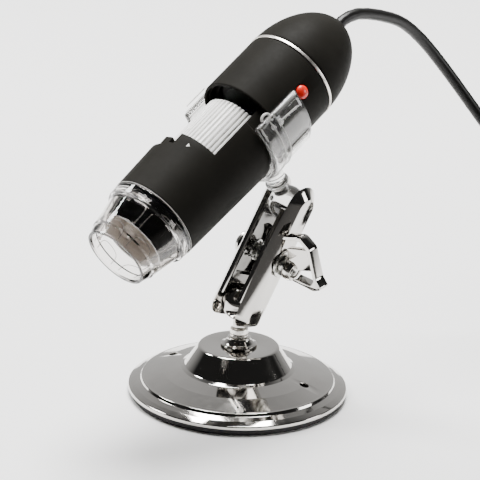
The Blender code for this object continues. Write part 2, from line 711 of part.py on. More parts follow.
def wing_pieces(wing):
    """Handle in the frame of the bolt: X along the bolt, Z along the strip."""
    outer = SLOT_HALF + HALF_DEPTH
    nut_low = outer + WASHER_HEIGHT + 2 * GAP
    along = about(pi / 2, "Y")
    bore = BOLT_RADIUS + GAP
    hex_nut("handle_nut", HANDLE_NUT_RADIUS, bore, nut_low, nut_low + HANDLE_NUT_HEIGHT, wing, along)
    strip = [HANDLE_TIP, HANDLE_TOP, HANDLE_SHOULDER, HANDLE_WEB, HANDLE_FLARE, HANDLE_CURL, HANDLE_END]
    shape = bmesh.new()
    rows = []
    for reach, height in strip:
        rows.append([shape.verts.new((reach, -HANDLE_WIDTH / 2, height)),
                     shape.verts.new((reach, HANDLE_WIDTH / 2, height))])
    for first, second in zip(rows, rows[1:]):
        shape.faces.new((first[0], first[1], second[1], second[0]))
    bends = [e for e in shape.edges if len(e.link_faces) == 2]
    bmesh.ops.bevel(shape, geom=bends, offset=HANDLE_ROUND, segments=2, affect="EDGES", profile=0.5)
    data = bpy.data.meshes.new("wing_handle")
    shape.to_mesh(data)
    shape.free()
    handle = place("wing_handle", data, wing, chrome())
    sheet = handle.modifiers.new("sheet", "SOLIDIFY")
    sheet.thickness = HANDLE_SHEET
    sheet.offset = 0
    seat = nut_low + HANDLE_NUT_HEIGHT + GAP
    hub_end = seat + HANDLE_HUB_LENGTH
    side = [(seat, -HANDLE_RIB_HALF), (seat, HANDLE_NUT_RADIUS + GAP), RIB_HEEL, RIB_UPPER, RIB_LOWER,
            RIB_THROAT, (hub_end, -HANDLE_RIB_HALF)]
    upright = about(pi / 2, "X")
    rib = meshed(plate("handle_rib", side, HANDLE_RIB_THICKNESS, wing, None, upright, (), cutters))
    hub = bar("handle_hub", HANDLE_NUT_RADIUS, seat, hub_end, wing, None, MID_STEPS, along, cutters)
    cut(handle, rib, "UNION")
    cut(handle, hub, "UNION")
    cut(handle, bar("handle_bore", bore, seat - OVERRUN, seat + BOLT_REACH - GAP, wing, None, SMALL_STEPS,
                    along, cutters))


def dome_radius(share):
    return (1 - share ** DOME_LENGTH_POWER_SHARE) ** (1 / DOME_RADIUS_POWER_SHARE)


def dome_profile(radius, last_radius, start, length):
    """Points of the dome from its widest place to where it is only as wide as the last radius."""
    last = (1 - (last_radius / radius) ** DOME_RADIUS_POWER_SHARE) ** (1 / DOME_LENGTH_POWER_SHARE)
    shares = [last * sin(pi / 2 * i / DOME_POINTS) for i in range(DOME_POINTS + 1)]
    return [(radius * dome_radius(s), start + length * s) for s in shares]


def end_cap(scope):
    start = RING_WIDTH / 2 + GAP
    length = DOME_LENGTH - start
    hole = GROMMET_RADIUS - GROMMET_LIP + GAP
    inner_length = length - SHELL_WALL
    inner_radius = BODY_RADIUS - SHELL_WALL
    top = start + length - GROMMET_LIP
    outer = dome_profile(BODY_RADIUS, hole * 1.15, start, length)
    inner = dome_profile(inner_radius, hole * 1.15, start, inner_length)
    outline = [(hole, top), *reversed(outer), *inner, (hole, top - SHELL_WALL)]
    turned("end_cap", outline, scope, soft_black(), BIG_STEPS)
    lip = GROMMET_RADIUS
    neck = GROMMET_RADIUS - GROMMET_LIP
    bore = CABLE_RADIUS + GAP
    turned("cable_grommet", [
        (lip - GROMMET_LIP / 2, top + GAP + GROMMET_LIP), (lip, top + GAP), (neck, top + GAP),
        (neck, top - SHELL_WALL - GAP), (lip, top - SHELL_WALL - GAP), (lip, top - GROMMET_LENGTH),
        (bore, top - GROMMET_LENGTH), (bore, top + GAP + GROMMET_LIP)], scope, black_rubber(), MID_STEPS)


def sleeve_pieces(scope):
    half = RING_WIDTH / 2
    tube("trim_ring", BODY_RADIUS + RING_PROUD, CHASSIS_RADIUS + GAP, -half, half, scope, chrome(), BIG_STEPS)
    inner = BODY_RADIUS - SHELL_WALL
    back = -half - GAP
    front = -SLEEVE_LENGTH
    sleeve = turned("rear_sleeve", [
        (BODY_RADIUS, back), (BODY_RADIUS, front + SLEEVE_ROUND), (BODY_RADIUS - SLEEVE_ROUND, front),
        (inner, front), (inner, back)], scope, soft_black(), BIG_STEPS)
    out = about(BUTTON_ANGLE, "Z") @ Matrix.Translation((0, 0, -BUTTON_STATION)) @ about(pi / 2, "Y")
    cut(sleeve, bar("button_hole", BUTTON_RADIUS + GAP, inner - OVERRUN, BODY_RADIUS + OVERRUN, scope, None,
                    MID_STEPS, out, cutters))
    skirt = inner - GAP
    foot = skirt - BUTTON_SKIRT
    wide = BUTTON_RADIUS + BUTTON_SKIRT
    angles = [pi / 2 * i / 5 for i in range(6)]
    arc = [(BUTTON_RADIUS * sin(a), BODY_RADIUS + BUTTON_PROUD * cos(a)) for a in angles]
    arc[0] = (0, arc[0][1])
    outline = arc + [(BUTTON_RADIUS, skirt), (wide, skirt), (wide, foot), (0, foot)]
    red = material("red_plastic", (0.75, 0.02, 0.01), 0.25)
    turned("snap_button", outline, scope, red, MID_STEPS, out, False)
    return out, foot


def sector_cutter(name, scope, middle, half_angle, low, high, far):
    """Wedge round Z between two angles, from the axis out to a radius."""
    count = 8
    ring = [(0, 0)]
    for i in range(count + 1):
        angle = middle - half_angle + 2 * half_angle * i / count
        ring.append((far * cos(angle), far * sin(angle)))
    wedge = plate(name, ring, high - low, scope, None, Matrix.Translation((0, 0, (low + high) / 2)), (), cutters)
    return meshed(wedge)


def front_housing(scope):
    start = -BARREL_START
    end = -BARREL_END
    neck_outer = BODY_RADIUS - SHELL_WALL - GAP
    neck_inner = neck_outer - NECK_WALL
    back = start + NECK_LENGTH
    web = SHELL_WALL
    barrel_inner = BODY_RADIUS - SHELL_WALL
    front_inner = BARREL_FRONT_RADIUS - SHELL_WALL
    seat = -WHEEL_END - GAP
    width = BEARING_WIDTH

    def inner_at(z):
        share = (start - web - z) / (start - web - end)
        return barrel_inner + (front_inner - barrel_inner) * share

    housing = turned("front_housing", [
        (neck_outer, back), (neck_outer, start + SLEEVE_ROUND), (BODY_RADIUS - SLEEVE_ROUND, start + SLEEVE_ROUND),
        (BODY_RADIUS, start), (BARREL_FRONT_RADIUS, end), (front_inner, end), (inner_at(seat - width), seat - width),
        (BEARING_RADIUS, seat - width), (BEARING_RADIUS, seat), (inner_at(seat), seat), (barrel_inner, start - web),
        (neck_inner, start - web), (neck_inner, back)], scope, soft_black(), BIG_STEPS)
    window = sector_cutter("window", scope, WINDOW_MIDDLE, WINDOW_HALF_ANGLE, -WINDOW_FRONT, back - NECK_WALL,
                           BODY_RADIUS + OVERRUN)
    cut(housing, window)


def focus_wheel(scope):
    points = []
    tip = WHEEL_RADIUS
    root = WHEEL_RADIUS - WHEEL_RIB_DEPTH
    step = 2 * pi / WHEEL_RIBS
    for i in range(WHEEL_RIBS):
        middle = i * step
        for radius, turn in ((tip, -WHEEL_RIB_SHARE / 2), (tip, WHEEL_RIB_SHARE / 2), (root, 0.5)):
            angle = middle + turn * step
            points.append((radius * cos(angle), radius * sin(angle)))
    length = WHEEL_END - WHEEL_START
    middle = Matrix.Translation((0, 0, -(WHEEL_START + WHEEL_END) / 2))
    plate("focus_wheel", points, length, scope, white_plastic(), middle, (circle(WHEEL_BORE, MID_STEPS),))
    meshed(bpy.data.objects["focus_wheel"])


def nose_cap(scope):
    start = -BARREL_END - GAP
    end = start - CAP_LENGTH + GAP
    base = BARREL_FRONT_RADIUS
    wall = CAP_WALL
    spigot = BARREL_FRONT_RADIUS - SHELL_WALL - GAP
    shoulder = start - CAP_SHOULDER
    drop = CAP_SHOULDER_DROP
    slope = (base - drop - CAP_MOUTH_RADIUS) / (shoulder - end)
    mid = base - drop - slope * (shoulder - end) * 0.42
    outline = [
        (spigot, start + CAP_SPIGOT),
        (spigot, start),
        (base, start),
        (base - drop / 2, shoulder),
        (base - drop * 1.6, shoulder - drop / 2),
        (mid + drop / 3, (shoulder + end) / 2),
        (CAP_MOUTH_RADIUS + drop / 2, end + 2 * CAP_LIP),
        (CAP_MOUTH_RADIUS, end),
        (CAP_MOUTH_RADIUS - wall, end),
        (CAP_MOUTH_RADIUS - wall, end + CAP_LIP),
        (mid - wall, (shoulder + end) / 2),
        (base - drop * 1.6 - wall, shoulder + drop),
        (spigot - wall, start),
        (spigot - wall, start + CAP_SPIGOT),
    ]
    turned("nose_cap", outline, scope, clear_plastic(), BIG_STEPS)


def lamp_pieces(scope):
    """LED board, reflector and LEDs behind the cap."""
    front = -REFLECTOR_STATION
    back = front + REFLECTOR_THICKNESS
    board_back = back + GAP + LED_BOARD_THICKNESS
    reflector = tube("led_reflector", REFLECTOR_RADIUS, REFLECTOR_BORE, front, back, scope,
                     material("gloss_black", (0.012, 0.012, 0.013), 0.15), MID_STEPS)
    board_radius = BARREL_FRONT_RADIUS - SHELL_WALL - CAP_WALL - 3 * GAP
    tube("led_board", board_radius, REFLECTOR_BORE, back + GAP, board_back, scope, board_green(), MID_STEPS)
    tube_front = board_back + GAP
    tube_back = -WHEEL_END - BEARING_WIDTH - 2 * GAP
    tube("lamp_tube", board_radius, board_radius - LAMP_TUBE_WALL, tube_front, tube_back, scope,
         material("inner_black", (0.03, 0.03, 0.03), 0.6), MID_STEPS)
    white = material("led_white", (0.95, 0.92, 0.80), 0.2)
    for i in range(LED_COUNT):
        angle = 2 * pi * (i + 0.5) / LED_COUNT
        spot = Matrix.Translation((LED_RING * cos(angle), LED_RING * sin(angle), 0))
        drill = bar(f"led_pocket_{i + 1}", LED_RADIUS + GAP, front - OVERRUN, back + OVERRUN, scope, None,
                    SMALL_STEPS, spot, cutters)
        cut(reflector, drill)
        low = back - LED_HEIGHT
        turned(f"led_{i + 1}", [(0, back), (LED_RADIUS, back), (LED_RADIUS, low + LED_RADIUS * 0.6),
                                (LED_RADIUS * 0.7, low + LED_RADIUS * 0.15), (0, low)], scope, white, 10, spot, False)


def lens_pieces(scope):
    front = -LENS_FRONT_STATION
    back = -LENS_BACK_STATION
    outer = LENS_BARREL_RADIUS
    bore = outer - LENS_BARREL_WALL
    flange = WHEEL_BORE - GAP
    flange_low = -(WHEEL_START + WHEEL_END) / 2 - LENS_FLANGE / 2
    seat = front + LENS_THICKNESS + LENS_BULGE
    turned("lens_barrel", [
        (outer, back), (outer, flange_low + LENS_FLANGE), (flange, flange_low + LENS_FLANGE), (flange, flange_low),
        (outer, flange_low), (outer, front), (bore, front), (bore, seat + GAP), (bore - LENS_BARREL_WALL, seat + GAP),
        (bore - LENS_BARREL_WALL, back)], scope, soft_black(), MID_STEPS)
    lens = bore - GAP
    turned("front_lens", [
        (0, seat), (lens, seat), (lens, front + LENS_BULGE), (lens * 0.7, front + LENS_BULGE * 0.5),
        (lens * 0.35, front + LENS_BULGE * 0.12), (0, front)], scope,
        material("lens_glass", (0.20, 0.22, 0.30), 0.02, 0.0, 0.9), MID_STEPS, None, False)


def chassis_pieces(scope, out, button_foot):
    """Carrier cup inside the sleeve, with its boards, switch, sensor and screws."""
    black = material("inner_black", (0.03, 0.03, 0.03), 0.6)
    front = -BARREL_START + NECK_LENGTH + GAP
    back = CHASSIS_BACK
    inner = CHASSIS_INNER
    floor = front + CHASSIS_FLOOR
    chassis = turned("chassis", [
        (CHASSIS_RADIUS, back), (CHASSIS_RADIUS, front), (WIRE_HOLE_RADIUS, front), (WIRE_HOLE_RADIUS, floor),
        (inner, floor), (inner, back)], scope, black, MID_STEPS)
    cut(chassis, bar("switch_hole", SWITCH_SIDE * 0.75, inner / 2, BODY_RADIUS, scope, None, SMALL_STEPS, out,
                     cutters))
    board_back = front - GAP
    board_front = board_back - BOARD_THICKNESS
    holes = [circle(SCREW_RADIUS + GAP, SMALL_STEPS, 0, (side * SCREW_SPREAD, 0)) for side in (1, -1)]
    meshed(plate("sensor_board", circle(SENSOR_BOARD_RADIUS, MID_STEPS), BOARD_THICKNESS, scope, board_green(),
                 Matrix.Translation((0, 0, (board_front + board_back) / 2)), holes))
    for number, side in enumerate((1, -1)):
        spot = Matrix.Translation((side * SCREW_SPREAD, 0, 0))
        cut(chassis, bar(f"chassis_screw_hole_{number}", SCREW_RADIUS + GAP, board_front - OVERRUN,
                         floor + OVERRUN, scope, None, SMALL_STEPS, spot, cutters))
        head = board_front - GAP
        turned(f"chassis_screw_{number + 1}", [
            (0, head + SCREW_LENGTH), (SCREW_RADIUS, head + SCREW_LENGTH), (SCREW_RADIUS, head),
            (SCREW_HEAD_RADIUS, head), (SCREW_HEAD_RADIUS, head - SCREW_HEAD_HEIGHT * 0.6),
            (SCREW_HEAD_RADIUS * 0.6, head - SCREW_HEAD_HEIGHT), (0, head - SCREW_HEAD_HEIGHT)],
            scope, steel(), 10, spot, False)
    box("image_sensor", (SENSOR_SIDE, SENSOR_SIDE, SENSOR_HEIGHT), (0, 0, board_front - GAP - SENSOR_HEIGHT / 2),
        scope, material("sensor_glass", (0.05, 0.05, 0.08), 0.1))
    low = floor + GAP
    high = back - GAP
    box("main_board", (BOARD_WIDTH, BOARD_THICKNESS, high - low),
        (0, BOARD_PLACE - BOARD_THICKNESS / 2, (low + high) / 2), scope, board_green())
    width, height, length = BOARD_PLUG_SIZE
    plug_y = BOARD_PLACE - BOARD_THICKNESS - GAP - height / 2
    box("board_plug", (width, height, length), (0, plug_y, high - length / 2), scope, white_plastic())
    plunger_top = button_foot - BUTTON_TRAVEL - GAP
    switch_top = plunger_top - SWITCH_PLUNGER_RADIUS
    switch_low = switch_top - SWITCH_HEIGHT
    switch = box("tact_switch", (SWITCH_SIDE, SWITCH_SIDE, SWITCH_HEIGHT), (0, 0, switch_low + SWITCH_HEIGHT / 2),
                 scope, black, out)
    cut(switch, bar("switch_plunger", SWITCH_PLUNGER_RADIUS, switch_low + SWITCH_HEIGHT / 2, plunger_top, scope, None,
                    SMALL_STEPS, out, cutters), "UNION")
    box("switch_board", (SWITCH_BOARD_LENGTH, SWITCH_BOARD_WIDTH, BOARD_THICKNESS),
        (0, 0, switch_low - GAP - BOARD_THICKNESS / 2), scope, board_green(), out)


def holder(scope):
    """Clear clip round the sleeve, with a foot, a neck and the upper ball below it."""
    inner = BODY_RADIUS + GAP
    outer = inner + HOLDER_WALL
    clip = tube("holder_cradle", outer, inner, -HOLDER_END, -HOLDER_START, scope, clear_plastic(), BIG_STEPS)
    cut(clip, sector_cutter("holder_gap", scope, HOLDER_OPEN_MIDDLE, HOLDER_OPEN_HALF, -HOLDER_END - OVERRUN,
                            -HOLDER_START + OVERRUN, outer + OVERRUN))
    lip_place = inner + HOLDER_LIP_RADIUS
    for side in (1, -1):
        angle = HOLDER_OPEN_MIDDLE + side * HOLDER_OPEN_HALF
        spot = Matrix.Translation((lip_place * cos(angle), lip_place * sin(angle), 0))
        cut(clip, bar(f"holder_lip_{side}", HOLDER_LIP_RADIUS, -HOLDER_END + HOLDER_WALL, -HOLDER_START
                      - HOLDER_WALL, scope, None, SMALL_STEPS, spot, cutters), "UNION")
    down = Matrix.Translation((0, 0, -HOLDER_NECK_STATION)) @ about(-pi / 2, "X")
    foot_end = HOLDER_REACH - HOLDER_FLANGE_REACH
    neck_angle = pi - asin(HOLDER_NECK_RADIUS / BALL_RADIUS)
    arc = [(r, HOLDER_REACH + z) for r, z in ball_arc(BALL_RADIUS, 0, neck_angle, 10)]
    arc[0] = (0, arc[0][1])
    start = inner + HOLDER_WALL / 2
    neck = turned("holder_neck", arc + [
        (HOLDER_NECK_RADIUS, foot_end), (HOLDER_FLANGE_RADIUS, foot_end),
        (HOLDER_FLANGE_RADIUS, foot_end - HOLDER_FLANGE_LENGTH),
        (HOLDER_FLANGE_RADIUS * 0.8, foot_end - HOLDER_FLANGE_LENGTH * 1.4),
        (HOLDER_FOOT_RADIUS, start), (0, start)], scope, None, MID_STEPS, down, False, cutters)
    cut(clip, neck, "UNION")


def coil_points():
    """Centre line of the coil: in along the lower layer, up, and out along the upper one."""
    low = TIE_THICKNESS + GAP + CABLE_RADIUS
    outer = COIL_RADIUS + COIL_PITCH * LAYER_TURNS / 2
    turn_back = 0.25
    total = 2 * LAYER_TURNS + COIL_LAST_TURN_SHARE
    count = round(total * LOOP_POINTS)
    points = []
    for i in range(count + 1):
        turns = i / LOOP_POINTS
        away = turns - LAYER_TURNS
        if abs(away) >= turn_back:
            radius = outer - COIL_PITCH * (LAYER_TURNS - abs(away))
            height = low if away < 0 else low + LAYER_PITCH
        else:
            radius = outer - COIL_PITCH * (LAYER_TURNS - turn_back / 2 - away * away / (2 * turn_back))
            share = (away + turn_back) / (2 * turn_back)
            height = low + LAYER_PITCH * share * share * (3 - 2 * share)
        angle = 2 * pi * turns
        points.append((COIL_CENTRE[0] + radius * cos(angle), COIL_CENTRE[1] + radius * sin(angle), height))
    return points


def least_gap(points):
    """Least distance between the surfaces of two turns of a cable."""
    best = COIL_RADIUS
    apart = LOOP_POINTS // 2
    for i, first in enumerate(points):
        for j in range(i + apart, len(points)):
            second = points[j]
            if abs(first[0] - second[0]) < best + 2 * CABLE_RADIUS:
                best = min(best, (Vector(first) - Vector(second)).length - 2 * CABLE_RADIUS)
    return best


def line_length(points):
    return sum((Vector(b) - Vector(a)).length for a, b in zip(points, points[1:]))


def cable_pieces(scope):
    """Free stretch, coil, tie and plug. They lie in the object's own frame."""
    sheath = material("cable_black", (0.02, 0.02, 0.02), 0.45)
    coil = coil_points()
    dome_tip = scope.matrix_local @ Vector((0, 0, DOME_LENGTH + GAP))
    out = scope.matrix_local.to_3x3() @ Vector((0, 0, 1))
    start = dome_tip + out * GAP
    coil_in = Vector(coil[0])
    route = [start, start + out * CABLE_RADIUS, *CABLE_ROUTE]
    lead = coil_in - Vector((0, 2 * CABLE_RADIUS, 0))
    free = smooth_line([*route, lead, coil_in - Vector((0, GAP, 0))], CABLE_STEP)
    wire("usb_cable", free, CABLE_RADIUS, None, sheath, 2)
    tail = smooth_line([Vector(coil[-1]), *TAIL_ROUTE], CABLE_STEP)
    end = Vector(tail[-1])
    way = Vector((end.x - tail[-2][0], end.y - tail[-2][1], 0)).normalized()
    straight = [end + way * CABLE_RADIUS, end + way * (2 * CABLE_RADIUS)]
    winding = [*[Vector(p) for p in coil[:-1]], *tail, *straight]
    wire("cable_coil", winding, CABLE_RADIUS, None, sheath, 1)
    print("cable_coil least gap", least_gap(coil), "length", line_length(free) + line_length(winding))
    tie_piece(sheath)
    plug_pieces(straight[-1], way)


def tie_piece(sheath):
    """Band round the wound turns."""
    spread = COIL_PITCH * LAYER_TURNS / 2 + CABLE_RADIUS + GAP
    low = TIE_THICKNESS
    high = low + 2 * GAP + 2 * CABLE_RADIUS + LAYER_PITCH
    wall = TIE_THICKNESS
    inside = [(-spread, low), (spread, low), (spread, high), (-spread, high)]
    around = [(-spread - wall, 0), (spread + wall, 0), (spread + wall, high + wall), (-spread - wall, high + wall)]
    place_tie = Matrix.Translation((COIL_CENTRE[0], COIL_CENTRE[1], 0)) @ about(TIE_ANGLE, "Z")
    place_tie = place_tie @ Matrix.Translation((COIL_RADIUS, 0, 0)) @ about(pi / 2, "X")
    plate("cable_tie", around, TIE_WIDTH, None, sheath, place_tie, (inside,))
    meshed(bpy.data.objects["cable_tie"])


def plug_pieces(start, way):
    """Moulded plug body and its metal shell, along the cable's last direction."""
    turn = Matrix.Translation(start) @ about(atan2(way.y, way.x), "Z")
    body = box("usb_plug_body", (PLUG_LENGTH, PLUG_WIDTH, PLUG_HEIGHT), (GAP + PLUG_LENGTH / 2, 0, 0), None,
               material("plug_black", (0.02, 0.02, 0.02), 0.5), turn)
    bevel(body, PLUG_ROUND)
    front = GAP + PLUG_LENGTH + GAP
    shell = box("usb_plug_shell", (PLUG_SHELL_LENGTH, PLUG_SHELL_WIDTH, PLUG_SHELL_HEIGHT),
                (front + PLUG_SHELL_LENGTH / 2, 0, 0), None, steel(), turn)
    wall = PLUG_SHELL_WALL
    free = PLUG_SHELL_HEIGHT * (1 - PLUG_TONGUE_SHARE) - wall
    room = box("plug_room", (PLUG_SHELL_LENGTH, PLUG_SHELL_WIDTH - 2 * wall, free),
               (front + PLUG_SHELL_LENGTH / 2 + wall, 0, PLUG_SHELL_HEIGHT / 2 - wall - free / 2), None, None, turn,
               cutters)
    cut(shell, room)


def build_all():
    clear_scene()
    base_pieces()
    ball_post()
    arm_turn = about(ARM_AZIMUTH, "Z") @ about(ARM_LEAN, "Y") @ about(ARM_TWIST, "Z")
    arm = frame("arm_frame", Matrix.Translation((0, 0, LOWER_BALL_HEIGHT)) @ arm_turn)
    clamp_pieces(arm)
    wing = frame("wing_frame", Matrix.Translation((0, 0, BALL_SPAN / 2)) @ about(HANDLE_TURN, "X"), arm)
    wing_pieces(wing)
    upper_ball = arm.matrix_local @ Vector((0, 0, BALL_SPAN))
    tilt = about(SCOPE_TILT - pi / 2, "X")
    from_ball = tilt @ Vector((0, -HOLDER_REACH, HOLDER_NECK_STATION))
    scope = frame("scope_frame", Matrix.Translation(upper_ball + from_ball) @ tilt)
    end_cap(scope)
    out, foot = sleeve_pieces(scope)
    front_housing(scope)
    focus_wheel(scope)
    nose_cap(scope)
    lamp_pieces(scope)
    lens_pieces(scope)
    chassis_pieces(scope, out, foot)
    holder(scope)
    cable_pieces(scope)


build_all()
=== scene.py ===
"""Dressed USB digital microscope on its chromed ball-jointed stand."""

from math import atan2, cos, pi, radians, sin, sqrt, tan

import bmesh
import bpy
from mathutils import Matrix, Vector


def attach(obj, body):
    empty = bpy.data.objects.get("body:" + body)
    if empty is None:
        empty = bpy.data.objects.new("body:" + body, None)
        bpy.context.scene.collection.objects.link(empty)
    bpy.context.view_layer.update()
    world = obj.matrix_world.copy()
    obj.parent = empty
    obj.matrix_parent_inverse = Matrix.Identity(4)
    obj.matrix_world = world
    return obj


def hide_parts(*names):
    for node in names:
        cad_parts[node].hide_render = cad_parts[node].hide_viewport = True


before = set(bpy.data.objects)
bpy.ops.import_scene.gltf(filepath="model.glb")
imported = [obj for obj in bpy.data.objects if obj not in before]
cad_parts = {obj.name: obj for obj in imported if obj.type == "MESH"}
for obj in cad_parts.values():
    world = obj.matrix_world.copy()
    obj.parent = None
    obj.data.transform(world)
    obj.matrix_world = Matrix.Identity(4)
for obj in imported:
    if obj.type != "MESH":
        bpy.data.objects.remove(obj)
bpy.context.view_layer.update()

TO_METRES = Matrix.Scale(0.001, 4)
PER_METRE = 1000


def about(angle, axis):
    return Matrix.Rotation(angle, 4, axis)


def shift(x, y, z):
    return Matrix.Translation((x, y, z))


def show(item):
    bpy.context.scene.collection.objects.link(item)
    return item


# Sizes in millimetres, and frames, as in the part's source
BALL_R = 6.0
BALL_HEIGHT = 31.2
SPAN = 34.87
ARM_TURNS = ((64.9, "Z"), (24.85, "Y"), (-58.0, "Z"))
WING_TURN = 30.0
SCOPE_RISE = 31.19
NECK_REACH = 36.3
NECK_BEHIND = 20.5
ARM = shift(0, 0, BALL_HEIGHT)
for turn, axis in ARM_TURNS:
    ARM = ARM @ about(radians(turn), axis)
WING = ARM @ shift(0, 0, SPAN / 2) @ about(radians(WING_TURN), "X")
UPPER_BALL = ARM @ Vector((0, 0, SPAN))
TILT = about(radians(SCOPE_RISE) - pi / 2, "X")
SCOPE = Matrix.Translation(UPPER_BALL + TILT @ Vector((0, -NECK_REACH, NECK_BEHIND))) @ TILT
BOLT_WAY = about(pi / 2, "Y")


# Camera and cord, in metres
CAMERA_PLACE = Vector((0.41354, -0.43159, 0.25411))
CAMERA_AIM = Vector((-0.0026, 0.0016, 0.0509))
CAMERA_ROLL = 2.0055
CAMERA_LENS = 150
CAMERA_SENSOR = 36
CAMERA_NEAR, CAMERA_FAR = 0.01, 50


def make_camera():
    data = bpy.data.cameras.new("photo_camera")
    data.lens = CAMERA_LENS
    data.sensor_width = CAMERA_SENSOR
    data.clip_start = CAMERA_NEAR
    data.clip_end = CAMERA_FAR
    made = show(bpy.data.objects.new("photo_camera", data))
    turn = (CAMERA_AIM - CAMERA_PLACE).to_track_quat("-Z", "Y").to_matrix().to_4x4()
    made.matrix_world = Matrix.Translation(CAMERA_PLACE) @ turn @ about(radians(CAMERA_ROLL), "Z")
    bpy.context.scene.camera = made


def smooth_line(route):
    """Curve through the route's points, in steps of about LINE_STEP."""
    knots = [Vector(p) for p in route]
    knots = [2 * knots[0] - knots[1], *knots, 2 * knots[-1] - knots[-2]]
    points = []
    for p0, p1, p2, p3 in zip(knots, knots[1:], knots[2:], knots[3:]):
        count = max(1, round((p2 - p1).length / LINE_STEP))
        t1 = sqrt((p1 - p0).length)
        t2 = t1 + sqrt((p2 - p1).length)
        t3 = t2 + sqrt((p3 - p2).length)
        for step in range(count):
            t = t1 + (t2 - t1) * step / count
            a1 = p0 * ((t1 - t) / t1) + p1 * (t / t1)
            a2 = p1 * ((t2 - t) / (t2 - t1)) + p2 * ((t - t1) / (t2 - t1))
            a3 = p2 * ((t3 - t) / (t3 - t2)) + p3 * ((t - t2) / (t3 - t2))
            b1 = a1 * ((t2 - t) / t2) + a2 * (t / t2)
            b2 = a2 * ((t3 - t) / (t3 - t1)) + a3 * ((t - t1) / (t3 - t1))
            points.append(b1 * ((t2 - t) / (t2 - t1)) + b2 * ((t - t1) / (t2 - t1)))
    points.append(knots[-2])
    return points


CABLE_ROUTE = [
    (0.0062, 0.0385, 0.1196), (0.0062, 0.0425, 0.1200), (0.0062, 0.0475, 0.1194), (0.0062, 0.0530, 0.1182),
    (0.0063, 0.0590, 0.1165), (0.0066, 0.0655, 0.1138), (0.0078, 0.0735, 0.1078), (0.0110, 0.0815, 0.0985),
    (0.0175, 0.0900, 0.0850), (0.0270, 0.0980, 0.0690), (0.0365, 0.1040, 0.0535), (0.0450, 0.1075, 0.0385),
    (0.0520, 0.1105, 0.0250), (0.0572, 0.1145, 0.0135), (0.0600, 0.1200, 0.0068), (0.0608, 0.1270, 0.0040),
]
TAIL_ROUTE = [
    (0.0245, 0.1726, 0.0082), (0.0188, 0.1705, 0.0108), (0.0144, 0.1664, 0.0132), (0.0126, 0.1610, 0.0143),
    (0.0138, 0.1556, 0.0145), (0.0172, 0.1513, 0.0145),
]
CABLE_R = 0.0019
CABLE_EXIT = 25.5
LINE_STEP = 0.0042
COIL_MIDDLE = (0.030, 0.141)
COIL_R = 0.022
COIL_TURNS = 4
COIL_PITCH = 0.0044
LAYER_RISE = 0.0043
LAST_TURN = 0.25
CLIMB = 0.25
LOOP_POINTS = 24
TIE_FLOOR = 0.0008
TIE_PLAY = 0.0003


def coil_points():
    """Two layers: inwards on the floor, a climb of CLIMB turns each way, and outwards on top."""
    low = TIE_FLOOR + TIE_PLAY + CABLE_R
    outer = COIL_R + COIL_PITCH * COIL_TURNS / 2
    points = []
    for i in range(round((2 * COIL_TURNS + LAST_TURN) * LOOP_POINTS) + 1):
        turns = i / LOOP_POINTS
        away = turns - COIL_TURNS
        if abs(away) >= CLIMB:
            radius = outer - COIL_PITCH * (COIL_TURNS - abs(away))
            height = low if away < 0 else low + LAYER_RISE
        else:
            radius = outer - COIL_PITCH * (COIL_TURNS - CLIMB / 2 - away * away / (2 * CLIMB))
            share = (away + CLIMB) / (2 * CLIMB)
            height = low + LAYER_RISE * share * share * (3 - 2 * share)
        angle = 2 * pi * turns
        x, y = COIL_MIDDLE
        points.append(Vector((x + radius * cos(angle), y + radius * sin(angle), height)))
    return points


def cable_line():
    coil = coil_points()
    out = SCOPE.to_3x3() @ Vector((0, 0, 1))
    start = TO_METRES @ (SCOPE @ Vector((0, 0, CABLE_EXIT)))
    lead = coil[0] - Vector((0, 2 * CABLE_R, 0))
    meet = coil[0] - Vector((0, TIE_PLAY, 0))
    free = smooth_line([start, start + out * CABLE_R, *CABLE_ROUTE, lead, meet])
    tail = smooth_line([coil[-1], *TAIL_ROUTE])
    way = Vector((tail[-1].x - tail[-2].x, tail[-1].y - tail[-2].y, 0)).normalized()
    end = tail[-1] + way * (2 * CABLE_R)
    return [*free[:-1], *coil[:-1], *tail, end], way


# Materials
NOISE_LOW, NOISE_HIGH = 0.3, 0.7
SHADE_DETAIL, SWING_DETAIL, BUMP_DETAIL = 4.0, 6.0, 3.0


